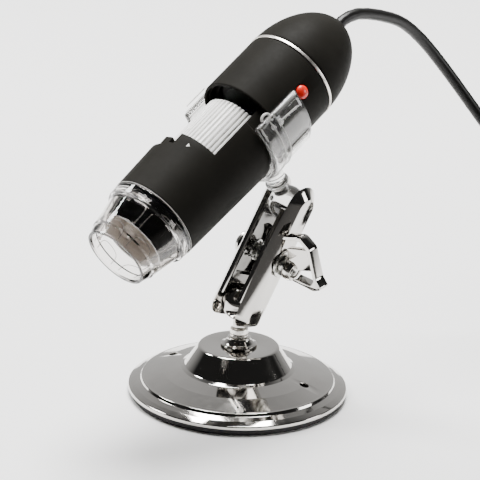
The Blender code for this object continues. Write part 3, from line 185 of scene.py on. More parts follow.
def node_material(name, colour, rough, metal, shade, swing, bump=None, **sockets):
    """Material with noise in the object's own metres: shade is (share, scale) of the colour, swing is
    (reach, scale) of the roughness, and bump is (strength, scale, depth)."""
    made = bpy.data.materials.new(name)
    made.use_nodes = True
    tree = made.node_tree
    shader = tree.nodes["Principled BSDF"]
    shader.inputs["Base Color"].default_value = (*colour, 1)
    shader.inputs["Roughness"].default_value = rough
    shader.inputs["Metallic"].default_value = metal
    for key, value in sockets.items():
        shader.inputs[key.replace("_", " ")].default_value = value
    spot = tree.nodes.new("ShaderNodeTexCoord")

    def noise(scale, detail):
        node = tree.nodes.new("ShaderNodeTexNoise")
        node.inputs["Scale"].default_value = scale
        node.inputs["Detail"].default_value = detail
        tree.links.new(spot.outputs["Object"], node.inputs["Vector"])
        return node.outputs["Fac"]

    def spread(source, low, high):
        node = tree.nodes.new("ShaderNodeMapRange")
        node.inputs["From Min"].default_value = NOISE_LOW
        node.inputs["From Max"].default_value = NOISE_HIGH
        node.inputs["To Min"].default_value = low
        node.inputs["To Max"].default_value = high
        tree.links.new(source, node.inputs["Value"])
        return node.outputs["Result"]

    share, scale = shade
    mix = tree.nodes.new("ShaderNodeMix")
    mix.data_type = "RGBA"
    mix.inputs["A"].default_value = (*[c * (1 - share) for c in colour], 1)
    mix.inputs["B"].default_value = (*[min(1, c * (1 + share)) for c in colour], 1)
    tree.links.new(spread(noise(scale, SHADE_DETAIL), 0, 1), mix.inputs["Factor"])
    tree.links.new(mix.outputs["Result"], shader.inputs["Base Color"])
    reach, scale = swing
    swung = spread(noise(scale, SWING_DETAIL), rough - reach, rough + reach)
    tree.links.new(swung, shader.inputs["Roughness"])
    if bump:
        strength, scale, depth = bump
        node = tree.nodes.new("ShaderNodeBump")
        node.inputs["Strength"].default_value = strength
        node.inputs["Distance"].default_value = depth
        tree.links.new(noise(scale, BUMP_DETAIL), node.inputs["Height"])
        tree.links.new(node.outputs["Normal"], shader.inputs["Normal"])
    return made


# What the clear pieces add to the plain inputs
CLEAR_CAP = {"Transmission_Weight": 1.0, "IOR": 1.5}
CLEAR_CLIP = {"Transmission_Weight": 0.94, "IOR": 1.52, "Coat_Weight": 0.4}
# The ridge finish is less clear and whiter than the holder, a painted highlight along raised lines
CLEAR_RIDGE = {"Transmission_Weight": 0.55, "IOR": 1.5, "Coat_Weight": 0.4}
GLASS = {"Transmission_Weight": 0.9, "IOR": 1.52, "Coat_Weight": 0.5}
BULB = {"Transmission_Weight": 0.35, "Coat_Weight": 0.5}
# Colour, roughness, metal, shade, swing, bump and other inputs, as node_material takes them
FINISHES = {
    "chrome": ((0.60, 0.58, 0.55), 0.075, 1.0, (0.04, 120), (0.025, 500), (0.15, 900, 0.00002), {}),
    # Darker chrome, a painted shade for the inside of the arm's pocket
    "shade_painted_chrome": ((0.17, 0.165, 0.155), 0.12, 1.0, (0.1, 300), (0.04, 900), (0.2, 1500, 0.00002), {}),
    "post": ((0.78, 0.75, 0.70), 0.22, 1.0, (0.12, 900), (0.08, 1500), (0.6, 1600, 0.00008), {}),
    "steel": ((0.62, 0.61, 0.58), 0.28, 1.0, (0.08, 600), (0.08, 2000), (0.3, 3000, 0.00002), {}),
    "iron": ((0.10, 0.10, 0.10), 0.65, 0.8, (0.3, 500), (0.1, 1500), (0.6, 1800, 0.0001), {}),
    "rubber": ((0.018, 0.017, 0.017), 0.72, 0.0, (0.2, 400), (0.06, 1500), (0.5, 3500, 0.00004), {}),
    "soft_black": ((0.0135, 0.0126, 0.0105), 0.52, 0.0, (0.10, 160), (0.04, 700), (0.35, 9000, 0.000012),
                   {"Specular_IOR_Level": 0.035}),
    "inner_black": ((0.012, 0.012, 0.012), 0.5, 0.0, (0.2, 400), (0.05, 900), (0.3, 5000, 0.00002), {}),
    "gloss_black": ((0.006, 0.006, 0.007), 0.08, 0.0, (0.2, 300), (0.03, 700), (0.1, 900, 0.00002),
                    {"Coat_Weight": 0.5}),
    "clear": ((0.945, 0.915, 0.89), 0.03, 0.0, (0.012, 250), (0.015, 600), (0.10, 500, 0.00003), CLEAR_CAP),
    "clip": ((0.93, 0.92, 0.90), 0.04, 0.0, (0.012, 250), (0.02, 600), (0.15, 500, 0.00004), CLEAR_CLIP),
    "cream": ((0.94, 0.885, 0.835), 0.28, 0.0, (0.02, 300), (0.05, 900), (0.1, 3000, 0.00001), {}),
    "smoke": ((0.33, 0.31, 0.29), 0.3, 0.0, (0.05, 300), (0.05, 900), (0.1, 3000, 0.00001), {}),
    # Whiter, less clear than the clip: a painted highlight on the raised lines
    "ridge": ((0.96, 0.95, 0.92), 0.10, 0.0, (0.02, 250), (0.02, 600), (0.15, 500, 0.00003), CLEAR_RIDGE),
    "satin": ((0.86, 0.82, 0.77), 0.34, 1.0, (0.04, 300), (0.04, 900), (0.2, 3000, 0.00001), {}),
    "white": ((0.95, 0.94, 0.915), 0.30, 0.0, (0.03, 300), (0.05, 900), (0.15, 4000, 0.00001),
              {"Coat_Weight": 0.15}),
    "red": ((0.90, 0.018, 0.007), 0.30, 0.0, (0.06, 500), (0.03, 900), (0.1, 2500, 0.00001),
            {"Coat_Weight": 0.15, "Coat_Roughness": 0.1}),
    "cable": ((0.006, 0.0055, 0.005), 0.36, 0.0, (0.15, 300), (0.05, 900), (0.25, 2500, 0.00002),
              {"Specular_IOR_Level": 0.3}),
    "plug": ((0.016, 0.016, 0.016), 0.45, 0.0, (0.15, 300), (0.05, 900), (0.35, 5000, 0.00002), {}),
    "board": ((0.003, 0.008, 0.005), 0.5, 0.0, (0.25, 900), (0.08, 1500), (0.3, 3000, 0.00003), {}),
    "sensor": ((0.03, 0.03, 0.06), 0.08, 0.0, (0.2, 900), (0.03, 900), (0.1, 900, 0.00001),
               {"Coat_Weight": 0.8}),
    "lens": ((0.30, 0.33, 0.45), 0.02, 0.0, (0.05, 300), (0.01, 400), (0.05, 400, 0.00001), GLASS),
    "led": ((0.93, 0.90, 0.78), 0.10, 0.0, (0.05, 500), (0.04, 900), (0.1, 2000, 0.00001), BULB),
    "ink": ((0.75, 0.74, 0.70), 0.5, 0.0, (0.05, 600), (0.05, 900), (0.1, 4000, 0.00001), {}),
}
MATERIALS = {
    key: node_material("m_" + key, *values, **sockets) for key, (*values, sockets) in FINISHES.items()}


# Mesh helpers
SMOOTH = 32
SHARP = 40
LEAST_TAN = 0.05
SIDE_SHARE = 0.48


def sharpen(data, angle):
    data.shade_smooth()
    data.set_sharp_from_angle(angle=radians(angle))


def to_piece(shape, name, finish, matrix, smooth_angle=SMOOTH):
    """Object in metres, at the origin, from a shape in millimetres of its own frame."""
    bmesh.ops.transform(shape, matrix=TO_METRES @ matrix, verts=shape.verts)
    bmesh.ops.recalc_face_normals(shape, faces=shape.faces)
    data = bpy.data.meshes.new(name)
    shape.to_mesh(data)
    shape.free()
    data.materials.append(MATERIALS[finish])
    sharpen(data, smooth_angle)
    return show(bpy.data.objects.new(name, data))


def around(radius, z, angle):
    return radius * cos(angle), radius * sin(angle), z


def quarter(radius, height, base, count):
    """Outline of a dome from its axis outwards, on a foot at the height base."""
    turns = [pi / 2 * i / count for i in range(count + 1)]
    arc = [(radius * sin(t), base + height * cos(t)) for t in turns]
    arc[0] = (0, base + height)
    return arc


def fillet(points, steps=4, closed=True):
    """Rounds the corners of an outline of (x, y, radius) points."""
    out = []
    count = len(points)
    for i, (x, y, radius) in enumerate(points):
        here = Vector((x, y))
        if not radius or (not closed and i in (0, count - 1)):
            out.append((x, y))
            continue
        before = Vector(points[i - 1][:2]) - here
        after = Vector(points[(i + 1) % count][:2]) - here
        half = before.angle(after) / 2
        reach = min(radius / max(tan(half), LEAST_TAN), before.length * SIDE_SHARE, after.length * SIDE_SHARE)
        first = here + before.normalized() * reach
        last = here + after.normalized() * reach
        for k in range(steps + 1):
            t = k / steps
            spot = first * (1 - t) ** 2 + here * (2 * t * (1 - t)) + last * t * t
            out.append((spot.x, spot.y))
    return out


def lathe_shape(outline, steps=128, closed=True):
    """Rings of an outline of (radius, height) turned round Z."""
    shape = bmesh.new()
    rings = []
    for r, z in outline:
        if r < 1e-6:
            rings.append([shape.verts.new((0, 0, z))])
        else:
            rings.append([shape.verts.new(around(r, z, 2 * pi * i / steps)) for i in range(steps)])
    pairs = list(zip(rings, rings[1:]))
    if closed:
        pairs.append((rings[-1], rings[0]))
    for a, b in pairs:
        for i in range(steps):
            j = (i + 1) % steps
            face = [a[i % len(a)], a[j % len(a)], b[j % len(b)], b[i % len(b)]]
            face = [v for k, v in enumerate(face) if v not in face[:k]]
            if len(face) > 2:
                shape.faces.new(face)
    return shape


def lathe(name, outline, finish, matrix, steps=128, closed=True):
    return to_piece(lathe_shape(outline, steps, closed), name, finish, matrix)


def bake(item):
    graph = bpy.context.evaluated_depsgraph_get()
    data = bpy.data.meshes.new_from_object(item.evaluated_get(graph))
    item.modifiers.clear()
    item.data = data
    return item


def carve(item, *cutters, operation="DIFFERENCE"):
    for cutter in cutters:
        step = item.modifiers.new("carve", "BOOLEAN")
        step.object = cutter
        step.operation = operation
        step.solver = "EXACT"
    bake(item)
    for cutter in cutters:
        bpy.data.objects.remove(cutter, do_unlink=True)
    return item


def round_edges(item, width, segments, angle):
    step = item.modifiers.new("edge", "BEVEL")
    step.width = width / PER_METRE
    step.segments = segments
    step.limit_method = "ANGLE"
    step.angle_limit = radians(angle)
    bake(item)
    sharpen(item.data, SHARP)


def skin(rings, loop=False, shape=None, caps_first=False):
    """Closed body through rings of equal counts: capped at both ends, or going round in a loop."""
    shape = shape or bmesh.new()
    rows = [[shape.verts.new(p) for p in ring] for ring in rings]
    sides = []
    for a, b in zip(rows, [*rows[1:], rows[0]] if loop else rows[1:]):
        for i in range(len(a)):
            j = (i + 1) % len(a)
            sides.append((a[i], a[j], b[j], b[i]))
    caps = [] if loop else [rows[0], rows[-1]]
    for face in caps + sides if caps_first else sides + caps:
        shape.faces.new(face)
    return shape


def loft(name, rings, finish, matrix, angle=SMOOTH):
    return to_piece(skin(rings), name, finish, matrix, angle)


def prism(name, outline, low, high, finish, matrix):
    """Plate from an outline in XY between two heights."""
    rings = [[(x, y, z) for x, y in outline] for z in (low, high)]
    return to_piece(skin(rings, caps_first=True), name, finish, matrix)


def tube_shape(path, radius, sides=8, shape=None):
    """Round bar along points, with closed ends."""
    side = (path[1] - path[0]).normalized().orthogonal().normalized()
    rings = []
    for i, point in enumerate(path):
        ahead = (path[min(i + 1, len(path) - 1)] - path[max(i - 1, 0)]).normalized()
        side = (side - ahead * side.dot(ahead)).normalized()
        up = ahead.cross(side)
        turns = [2 * pi * k / sides for k in range(sides)]
        rings.append([point + side * (radius * cos(t)) + up * (radius * sin(t)) for t in turns])
    return skin(rings, shape=shape)


def globe(name, radius, finish, matrix, steps):
    shape = bmesh.new()
    bmesh.ops.create_uvsphere(shape, u_segments=steps, v_segments=steps // 2, radius=radius)
    return to_piece(shape, name, finish, matrix)


def rod(name, radius, low, high, finish, matrix, steps):
    return lathe(name, [(0, high), (radius, high), (radius, low), (0, low)], finish, matrix, steps, False)


def block(name, low, high, finish, matrix):
    outline = [(low[0], low[1]), (high[0], low[1]), (high[0], high[1]), (low[0], high[1])]
    return prism(name, outline, low[2], high[2], finish, matrix)


def shell(name, angles, stations, filled, outer, inner, finish, wrap, angle):
    """Curved wall of the microscope from a grid of cells: angles in degrees, stations in millimetres
    ahead of the ring."""
    shape = bmesh.new()
    spots = {}
    count = len(angles) if wrap else len(angles) - 1

    def spot(i, j, side):
        i = i % len(angles) if wrap else i
        if (i, j, side) not in spots:
            a = radians(angles[i])
            r = (outer if side else inner)(angles[i], stations[j])
            spots[i, j, side] = shape.verts.new(around(r, -stations[j], a))
        return spots[i, j, side]

    rows = len(stations) - 1
    cells = {}
    for i in range(count):
        for j in range(rows):
            seam = 360 if wrap and i == len(angles) - 1 else 0
            middle = (angles[i] + angles[(i + 1) % len(angles)] + seam) / 2
            cells[i, j] = filled(middle, (stations[j] + stations[j + 1]) / 2)
    for (i, j), solid in cells.items():
        if not solid:
            continue
        corners = ((i, j), (i + 1, j), (i + 1, j + 1), (i, j + 1))
        for side in (0, 1):
            shape.faces.new([spot(*corner, side) for corner in corners])
        edges = (((i - 1, j), (i, j), (i, j + 1)), ((i + 1, j), (i + 1, j), (i + 1, j + 1)),
                 ((i, j - 1), (i, j), (i + 1, j)), ((i, j + 1), (i, j + 1), (i + 1, j + 1)))
        for other, a, b in edges:
            key = (other[0] % count, other[1]) if wrap else other
            if not cells.get(key):
                shape.faces.new((spot(*a, 0), spot(*b, 0), spot(*b, 1), spot(*a, 1)))
    return to_piece(shape, name, finish, SCOPE, angle)


def steps_between(low, high, most):
    count = max(1, round(abs(high - low) / most))
    return [low + (high - low) * i / count for i in range(count)]


def grid_values(marks, most):
    out = []
    for a, b in zip(marks, marks[1:]):
        out += steps_between(a, b, most)
    return [*out, marks[-1]]


def dress(piece, body, slot, *nodes):
    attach(piece, body)
    if nodes:
        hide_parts(*nodes)
    return piece


# Base and post
WORLD = Matrix.Identity(4)
DISC_BOTTOM = 2.1
STEP_TOP = DISC_BOTTOM + 3.1
HUB_FOOT = STEP_TOP + 0.7 + 3.0
HUB_TOP = HUB_FOOT + 7.6
DISC_WALL = 1.4
DISC_BORE = 2.4
PAD_TOP = 1.8
SCREW_R = 1.5
SCREW_RING = 23.95
SCREW_TURN = 16
SEAT = 0.3
COLLAR_HEIGHT = 2.6
POST_R = 2.1
POST_FOOT = HUB_TOP - 4.9
CHROME_ABOVE = 22.8


def ball_arc(height, neck, count):
    """Ball's outline from the top of its axis down to its neck."""
    turns = [neck * i / count for i in range(count + 1)]
    arc = [(BALL_R * sin(t), height + BALL_R * cos(t)) for t in turns]
    arc[0] = (0, height + BALL_R)
    return arc


def base():
    outline = fillet([
        (DISC_BORE, HUB_TOP, 0), (12.8, HUB_TOP, 1.3), (17.25, HUB_FOOT + 0.9, 0.9),
        (18.4, HUB_FOOT + 0.25, 0.8), (24.2, HUB_FOOT - 1.05, 3.0), (30.3, STEP_TOP + 0.75, 0.5),
        (31.0, STEP_TOP + 0.62, 0.4), (31.35, STEP_TOP - 0.25, 0.4), (33.3, DISC_BOTTOM + 2.1, 1.2),
        (35.2, DISC_BOTTOM + 1.15, 0.5), (35.4, DISC_BOTTOM, 0.25), (34.1, DISC_BOTTOM, 0.2),
        (34.0, DISC_BOTTOM + 0.4, 0.2), (29.6, STEP_TOP - 0.7, 0.3), (16.9, HUB_FOOT - DISC_WALL, 0.5),
        (11.4, HUB_TOP - DISC_WALL, 0.5), (DISC_BORE, HUB_TOP - DISC_WALL, 0)], 7)
    disc = lathe("plate_chrome", outline, "chrome", WORLD, 192)
    pad = lathe("plate_pad", fillet([
        (0, 0.35, 0), (26.0, 0.35, 0.1), (26.4, 0, 0.1), (33.9, 0, 0.35), (34.5, 0.5, 0.3),
        (34.5, PAD_TOP, 0.25), (0, PAD_TOP, 0)], 4, False), "rubber", WORLD, 144, False)
    for angle in (radians(SCREW_TURN), radians(SCREW_TURN) + pi):
        for plate in (disc, pad):
            carve(plate, rod("drill", SCREW_R, -1, 20, "iron", shift(*around(SCREW_RING, 0, angle)), 40))
    round_edges(disc, 0.14, 2, 40)
    dress(disc, "base", "chrome", "base_disc")
    dress(pad, "base", "rubber", "foot_pad")
    foot = HUB_TOP + SEAT
    collar = lathe("plate_collar", fillet([
        (3.6, foot + COLLAR_HEIGHT, 0.35), (3.75, foot + 1.9, 0.8), (4.9, foot + 0.75, 1.2),
        (5.8, foot + 0.35, 0.3), (5.75, foot, 0.1), (DISC_BORE, foot, 0),
        (DISC_BORE, foot + COLLAR_HEIGHT, 0.1)], 5), "chrome", WORLD, 96)
    dress(collar, "base", "chrome", "post_collar")
    top = foot + COLLAR_HEIGHT + SEAT
    lower = fillet([
        (POST_R, 25.58, 0), (POST_R, 22.75, 0.5), (2.9, 22.3, 0.35), (2.95, top + 1.0, 0.5),
        (2.75, top + 0.5, 0.3), (2.9, top, 0.15), (POST_R, top, 0.1), (POST_R, POST_FOOT, 0.2),
        (0, POST_FOOT, 0)], 5, False)
    post = lathe("post_body", ball_arc(BALL_HEIGHT, pi - 0.36, 40) + lower[1:], "post", WORLD, 96, False)
    post.data.materials.append(MATERIALS["chrome"])
    for face in post.data.polygons:
        if face.center.z * PER_METRE > CHROME_ABOVE:
            face.material_index = 1
    dress(post, "post", "chrome", "ball_post")


# Clamp arm
ARM_WIDTH = 15.0
ARM_LOW = -6.8
ARM_HIGH = SPAN + 8.5
ARM_ROUND = 4.5
# Inside of the arm that is painted darker, as painted shade in the pocket: depth, half width and distance
# from either ball
POCKET_SHADE_DEPTH, POCKET_SHADE_HALF, POCKET_SHADE_FROM = 5.3, 6.6, 1.0
CUP_R = 6.3
CUP_TURN = 5
NECK_R = 2.4
MOUTH_SLOPE = 15
MOUTH_OVER = 7.5
MOUTH_REACH = 10.6
MOUTH_START = 0.6
MOUTH_STEPS = 24
BOLT_R = 2.0
BOLT_HOLE = 2.3
BOLT_HEAD = -7.9
BOLT_TIP = 13.4
THREAD = 0.4
THREAD_FROM = 8.0
THREAD_R = 1.78
SPRING_R = 3.1
SPRING_WIRE = 0.4
SPRING_HALF = 4.4
SPRING_TURNS = 4
SPRING_STEPS = 32
LEVER_HALF = 1.9
LEVER_RIB_HALF = 1.15
NUT_R = 3.7


def arm_outline(width, low, high, corner, count=12):
    half = width / 2
    angles = [pi * i / (2 * count) for i in range(2 * count + 1)]
    points = [(half * cos(a), high - half + half * sin(a)) for a in angles]
    for middle, start in ((corner - half, pi), (half - corner, 1.5 * pi)):
        for i in range(count + 1):
            angle = start + pi * i / (2 * count)
            points.append((middle + corner * cos(angle), low + corner + corner * sin(angle)))
    return points


def mouth(height, turn, matrix):
    """Opening that the ball's neck swings in."""
    start = NECK_R / cos(radians(MOUTH_SLOPE)) + SEAT
    wide = start + MOUTH_REACH * tan(radians(MOUTH_SLOPE))
    over = radians(MOUTH_OVER)
    shape = bmesh.new()
    rows = []
    for i in range(MOUTH_STEPS + 1):
        angle = -over + (pi + 2 * over) * i / MOUTH_STEPS
        y, z = -MOUTH_REACH * cos(angle), turn * MOUTH_REACH * sin(angle)
        rows.append([shape.verts.new((x, y, z)) for x in (wide, -wide)])
    hub = [shape.verts.new((x, 0, -turn * MOUTH_START)) for x in (start, -start)]
    for a, b in zip(rows, rows[1:]):
        shape.faces.new((a[0], b[0], b[1], a[1]))
        shape.faces.new((hub[0], b[0], a[0]))
        shape.faces.new((hub[1], a[1], b[1]))
    shape.faces.new((hub[0], rows[0][0], rows[0][1], hub[1]))
    shape.faces.new((hub[0], hub[1], rows[-1][1], rows[-1][0]))
    return to_piece(shape, "mouth", "iron", matrix @ shift(0, 0, height))


def layers(name, spec, matrix):
    """Arm-shaped body from rows of (depth, width, low, high, corner)."""
    rings = [[(x, y, z) for y, z in arm_outline(*outline)] for x, *outline in spec]
    return loft(name, rings, "chrome", matrix, 20)


def clamp_half(name, node, matrix):
    wide = (ARM_WIDTH, ARM_LOW, ARM_HIGH, ARM_ROUND)
    body = layers(name, [
        (2.9, ARM_WIDTH - 0.8, ARM_LOW + 0.4, ARM_HIGH - 0.4, ARM_ROUND - 0.4), (3.25, *wide), (4.5, *wide),
        (7.45, 7.4, ARM_LOW + 1.9, ARM_HIGH - 3.8, 1.3),
        (7.6, 6.6, ARM_LOW + 2.3, ARM_HIGH - 4.2, 0.9)], matrix)
    pocket = layers("pocket", [
        (1.0, 11.9, 8.1, SPAN - 8.1, 1.6), (4.9, 11.3, 8.4, SPAN - 8.4, 1.3),
        (5.1, 10.9, 8.6, SPAN - 8.6, 1.1)], matrix)
    carve(body, pocket)
    for height, turn in ((0, -1), (SPAN, 1)):
        spot = matrix @ shift(0, 0, height) @ about(radians(CUP_TURN), "X")
        carve(body, globe("cup", CUP_R, "iron", spot, 56))
        carve(body, mouth(height, turn, matrix))
    carve(body, rod("drill", BOLT_HOLE, -10, 10, "iron", matrix @ shift(0, 0, SPAN / 2) @ BOLT_WAY, 40))
    round_edges(body, 0.28, 3, 24)
    # Faces inside the pocket take the darker chrome, a painted shade of the recess
    body.data.materials.append(MATERIALS["shade_painted_chrome"])
    back = (TO_METRES @ matrix).inverted()
    for face in body.data.polygons:
        spot = back @ face.center
        if spot.x < POCKET_SHADE_DEPTH and abs(spot.y) < POCKET_SHADE_HALF and POCKET_SHADE_FROM < spot.z < SPAN - POCKET_SHADE_FROM:
            face.material_index = 1
    dress(body, "arm", "chrome", node)


def clamp():
    clamp_half("arm_side_wing", "clamp_half_wing", ARM)
    clamp_half("arm_side_plain", "clamp_half_plain", ARM @ about(pi, "Z"))
    along = ARM @ shift(0, 0, SPAN / 2) @ BOLT_WAY
    threads = []
    z = BOLT_TIP - THREAD
    while z > THREAD_FROM:
        threads += [(BOLT_R, z), (THREAD_R, z - THREAD / 2)]
        z -= THREAD
    head = fillet([
        (BOLT_R, BOLT_HEAD, 0), (3.8, BOLT_HEAD, 0.15), (3.8, BOLT_HEAD - 1.0, 0.5),
        (2.6, BOLT_HEAD - 1.8, 0.8), (0, BOLT_HEAD - 1.8, 0)], 5, False)
    bolt = lathe("arm_bolt", [
        (0, BOLT_TIP), (1.6, BOLT_TIP), (1.95, BOLT_TIP - 0.3), *threads, (BOLT_R, z), *head],
        "steel", along, 48, False)
    carve(bolt, block("slot", (-4.2, -0.45, BOLT_HEAD - 3), (4.2, 0.45, BOLT_HEAD - 1.1), "iron", along))
    dress(bolt, "arm", "steel", "clamp_bolt")
    ring = fillet([(4.6, 8.7, 0.2), (4.6, 7.9, 0.2), (BOLT_HOLE, 7.9, 0.1), (BOLT_HOLE, 8.7, 0.1)], 4)
    dress(lathe("arm_washer", ring, "steel", along, 72), "arm", "steel", "wing_washer")
    count = SPRING_TURNS * SPRING_STEPS
    path = [Vector(around(SPRING_R, SPRING_HALF * (2 * i / count - 1), 2 * pi * i / SPRING_STEPS))
            for i in range(count + 1)]
    spring = to_piece(tube_shape(path, SPRING_WIRE, 10), "arm_spring", "steel", along)
    dress(spring, "arm", "steel", "clamp_spring")


def handle():
    turn = WING @ about(pi / 2, "X")
    strip = prism("wing_lever", fillet([
        (7.95, 10.3, 0.3), (8.6, 11.4, 0.5), (14.5, 13.95, 2.4), (18.85, 11.9, 2.4), (23.0, 2.7, 2.5),
        (25.3, 0.6, 0.5), (24.9, -0.3, 0.4), (22.6, -1.75, 1.2), (14.2, -2.35, 0.3), (14.2, -1.35, 0.3),
        (21.4, -0.6, 1.2), (22.2, 1.6, 1.0), (17.9, 10.75, 2.0), (14.5, 12.7, 2.0), (8.6, 10.3, 0.3)], 6),
        -LEVER_HALF, LEVER_HALF, "chrome", turn)
    round_edges(strip, 0.3, 3, 35)
    rib = prism("rib", fillet([
        (10.9, -2.5, 0), (10.9, 3.9, 0.4), (9.5, 7.2, 0.5), (18.4, 10.9, 0), (21.6, 4.8, 0), (14.2, 1.3, 1.2),
        (13.6, -2.5, 0)], 4), -LEVER_RIB_HALF, LEVER_RIB_HALF, "chrome", turn)
    round_edges(rib, 0.2, 2, 35)
    along = WING @ BOLT_WAY
    hub = lathe("hub", fillet([
        (0, 13.6, 0), (3.2, 13.6, 0.4), (3.7, 12.4, 0.5), (3.75, 10.95, 0.25), (0, 10.95, 0)], 5, False),
        "chrome", along, 64, False)
    carve(strip, rib, hub, operation="UNION")
    carve(strip, rod("drill", BOLT_HOLE, 9, 15.8, "iron", along, 40))
    sharpen(strip.data, SHARP)
    dress(strip, "wing", "chrome", "wing_handle")
    corners = [around(NUT_R, 0, pi * i / 3)[:2] for i in range(6)]
    nut = prism("wing_nut", corners, 9.0, 10.6, "steel", along)
    cone = lathe("cone", [
        (0, 8.0), (3.5, 8.0), (3.5, 8.9), (3.85, 9.2), (3.85, 10.4), (3.5, 10.7), (3.5, 11), (0, 11)],
        "steel", along, 48, False)
    carve(nut, cone, operation="INTERSECT")
    carve(nut, rod("drill", BOLT_HOLE, 7, 12, "iron", along, 40))
    dress(nut, "wing", "steel", "handle_nut")


# Microscope
RIM = 15.7
DOME_START = 0.8
DOME_LENGTH = 24.1
DOME_CUT = 0.6
DOME_WALL = 1.4
DOME_POWER = 1.87
DOME_STEPS = 40
CABLE_HOLE = 3.3
BAND_R = RIM + 0.15
GRIP_END = -22.9
BUTTON_R = 2.1
BUTTON_RISE = 1.1
BUTTON_TURN = -18.6
BUTTON_AT = -9.1


def dome():
    def arc(radius, length):
        end = sqrt(1 - (CABLE_HOLE / radius) ** 2) ** (2 / DOME_POWER)
        shares = [end * sin(pi / 2 * i / DOME_STEPS) for i in range(DOME_STEPS + 1)]
        return [(radius * sqrt(max(0, 1 - s ** DOME_POWER)), DOME_START + length * s) for s in shares]

    top = DOME_START + DOME_LENGTH - DOME_CUT
    outer = arc(RIM, DOME_LENGTH)
    inner = arc(RIM - DOME_WALL, DOME_LENGTH - DOME_WALL)
    outer[0] = (RIM - 0.08, DOME_START)
    outer.insert(1, (RIM, DOME_START + 0.15))
    body = lathe("cap_dome", [
        (2.9, top), (3.1, top + 0.02), *reversed(outer), *inner, (2.9, top - DOME_WALL)],
        "soft_black", SCOPE, 144)
    dress(body, "scope", "soft_black", "end_cap")
    bush = lathe("cap_bush", fillet([
        (2.3, top + 0.85, 0.15), (2.9, top + 0.8, 0.3), (3.2, top + 0.3, 0.1), (2.6, top + 0.3, 0.1),
        (2.6, top - 1.7, 0.1), (3.2, top - 1.7, 0.2), (3.2, top - 3.0, 0.2), (2.2, top - 3.0, 0.1)], 4),
        "cable", SCOPE, 64)
    dress(bush, "scope", "cable_black", "cable_grommet")


def sleeve():
    ring = lathe("trim_band", fillet([
        (RIM - 0.05, 0.5, 0.1), (BAND_R, 0.42, 0.2), (BAND_R, -0.42, 0.2), (RIM - 0.05, -0.5, 0.1),
        (14.1, -0.5, 0.05), (14.1, 0.5, 0.05)], 4), "satin", SCOPE, 192)
    dress(ring, "scope", "chrome", "trim_ring")
    tube = lathe("grip_sleeve", fillet([
        (RIM, -0.8, 0.12), (RIM, GRIP_END, 0.75), (14.75, GRIP_END, 0.2), (14.7, -21.6, 0.15),
        (14.3, -21.4, 0.15), (14.3, -0.8, 0.1)], 6), "soft_black", SCOPE, 192)
    out = SCOPE @ about(radians(BUTTON_TURN), "Z") @ shift(0, 0, BUTTON_AT) @ about(pi / 2, "Y")
    carve(tube, rod("drill", BUTTON_R + 0.3, 12, 18, "iron", out, 64))
    round_edges(tube, 0.16, 2, 40)
    dress(tube, "scope", "soft_black", "rear_sleeve")
    button = lathe("snap_cap", [
        *quarter(BUTTON_R, BUTTON_RISE, RIM, 14), (BUTTON_R, 14.0), (2.7, 14.0), (2.7, 13.4), (0, 13.4)],
        "red", out, 64, False)
    dress(button, "button", "red_plastic", "snap_button")


# Window: far angle of each step of its front edge, in degrees, and that edge's station
WINDOW_STEPS = ((-109, 50.0), (-96, 47.0), (-89, 49.0), (-41, 44.8))
WINDOW_BACK = 19.0
SHOULDER = 30.2
LIP_BACK, LIP_FRONT = 66.1, 66.4
LIP_DEPTH = 0.25
TAPER = 1.2
TAPER_LENGTH = 36.2
# Narrow end of the housing that goes into the sleeve, and the wall across its inside
SPIGOT_BACK, SPIGOT_FRONT = 17.7, 29.7
SPIGOT_R, SPIGOT_STEP_R, SHOULDER_R = 14.0, 14.9, 15.55
SPIGOT_BORE = 12.8
STEP_LENGTH = 0.05
BORE_BACK = 31.4
BORE_R = 14.3
BORE_LENGTH = 35.0
WALL_BACK, WALL_FRONT = 48.5, 50.0
WALL_BORE = 10.8
STATION_PLAY = 0.1
POINTER = ((-68.2, 47.6), (-71.9, 48.3), (-71.9, 46.95))


def housing_r(s):
    return RIM - TAPER * (s - SHOULDER) / TAPER_LENGTH


def barrel():
    """Housing with the window, its notch and its hook, from a grid of cells."""
    angles = grid_values([-172, *(angle for angle, edge in WINDOW_STEPS), 188], 2.4)[:-1]
    marks = {
        SPIGOT_BACK, WINDOW_BACK, SPIGOT_FRONT, SPIGOT_FRONT + STEP_LENGTH, SHOULDER, BORE_BACK,
        *(edge for angle, edge in WINDOW_STEPS), WALL_BACK, WALL_FRONT, LIP_BACK, LIP_FRONT}
    stations = grid_values(sorted(marks), 2.0)

    def filled(a, s):
        return s < WINDOW_BACK or s > next((edge for angle, edge in WINDOW_STEPS if a < angle), 0)

    def outer(a, s):
        if s <= SPIGOT_FRONT:
            return SPIGOT_R
        if s < SHOULDER - STATION_PLAY:
            return SPIGOT_STEP_R
        if s < BORE_BACK - STATION_PLAY:
            return SHOULDER_R
        return housing_r(s) - (LIP_DEPTH if s > LIP_BACK else 0)

    def inner(a, s):
        if s < BORE_BACK - STATION_PLAY:
            return SPIGOT_BORE
        if WALL_BACK - STATION_PLAY < s < WALL_FRONT + STATION_PLAY:
            return WALL_BORE
        return BORE_R - TAPER * (s - BORE_BACK) / BORE_LENGTH

    body = shell("barrel_shell", angles, stations, filled, outer, inner, "soft_black", True, 24)
    round_edges(body, 0.3, 3, 50)
    body.data.set_sharp_from_angle(angle=radians(38))
    dress(body, "scope", "soft_black", "front_housing")
    rings = [[around(housing_r(s) + lift, -s, radians(a)) for a, s in POINTER] for lift in (0.02, 0.05)]
    dress(to_piece(skin(rings), "focus_mark", "ink", SCOPE), "scope", "white_plastic")


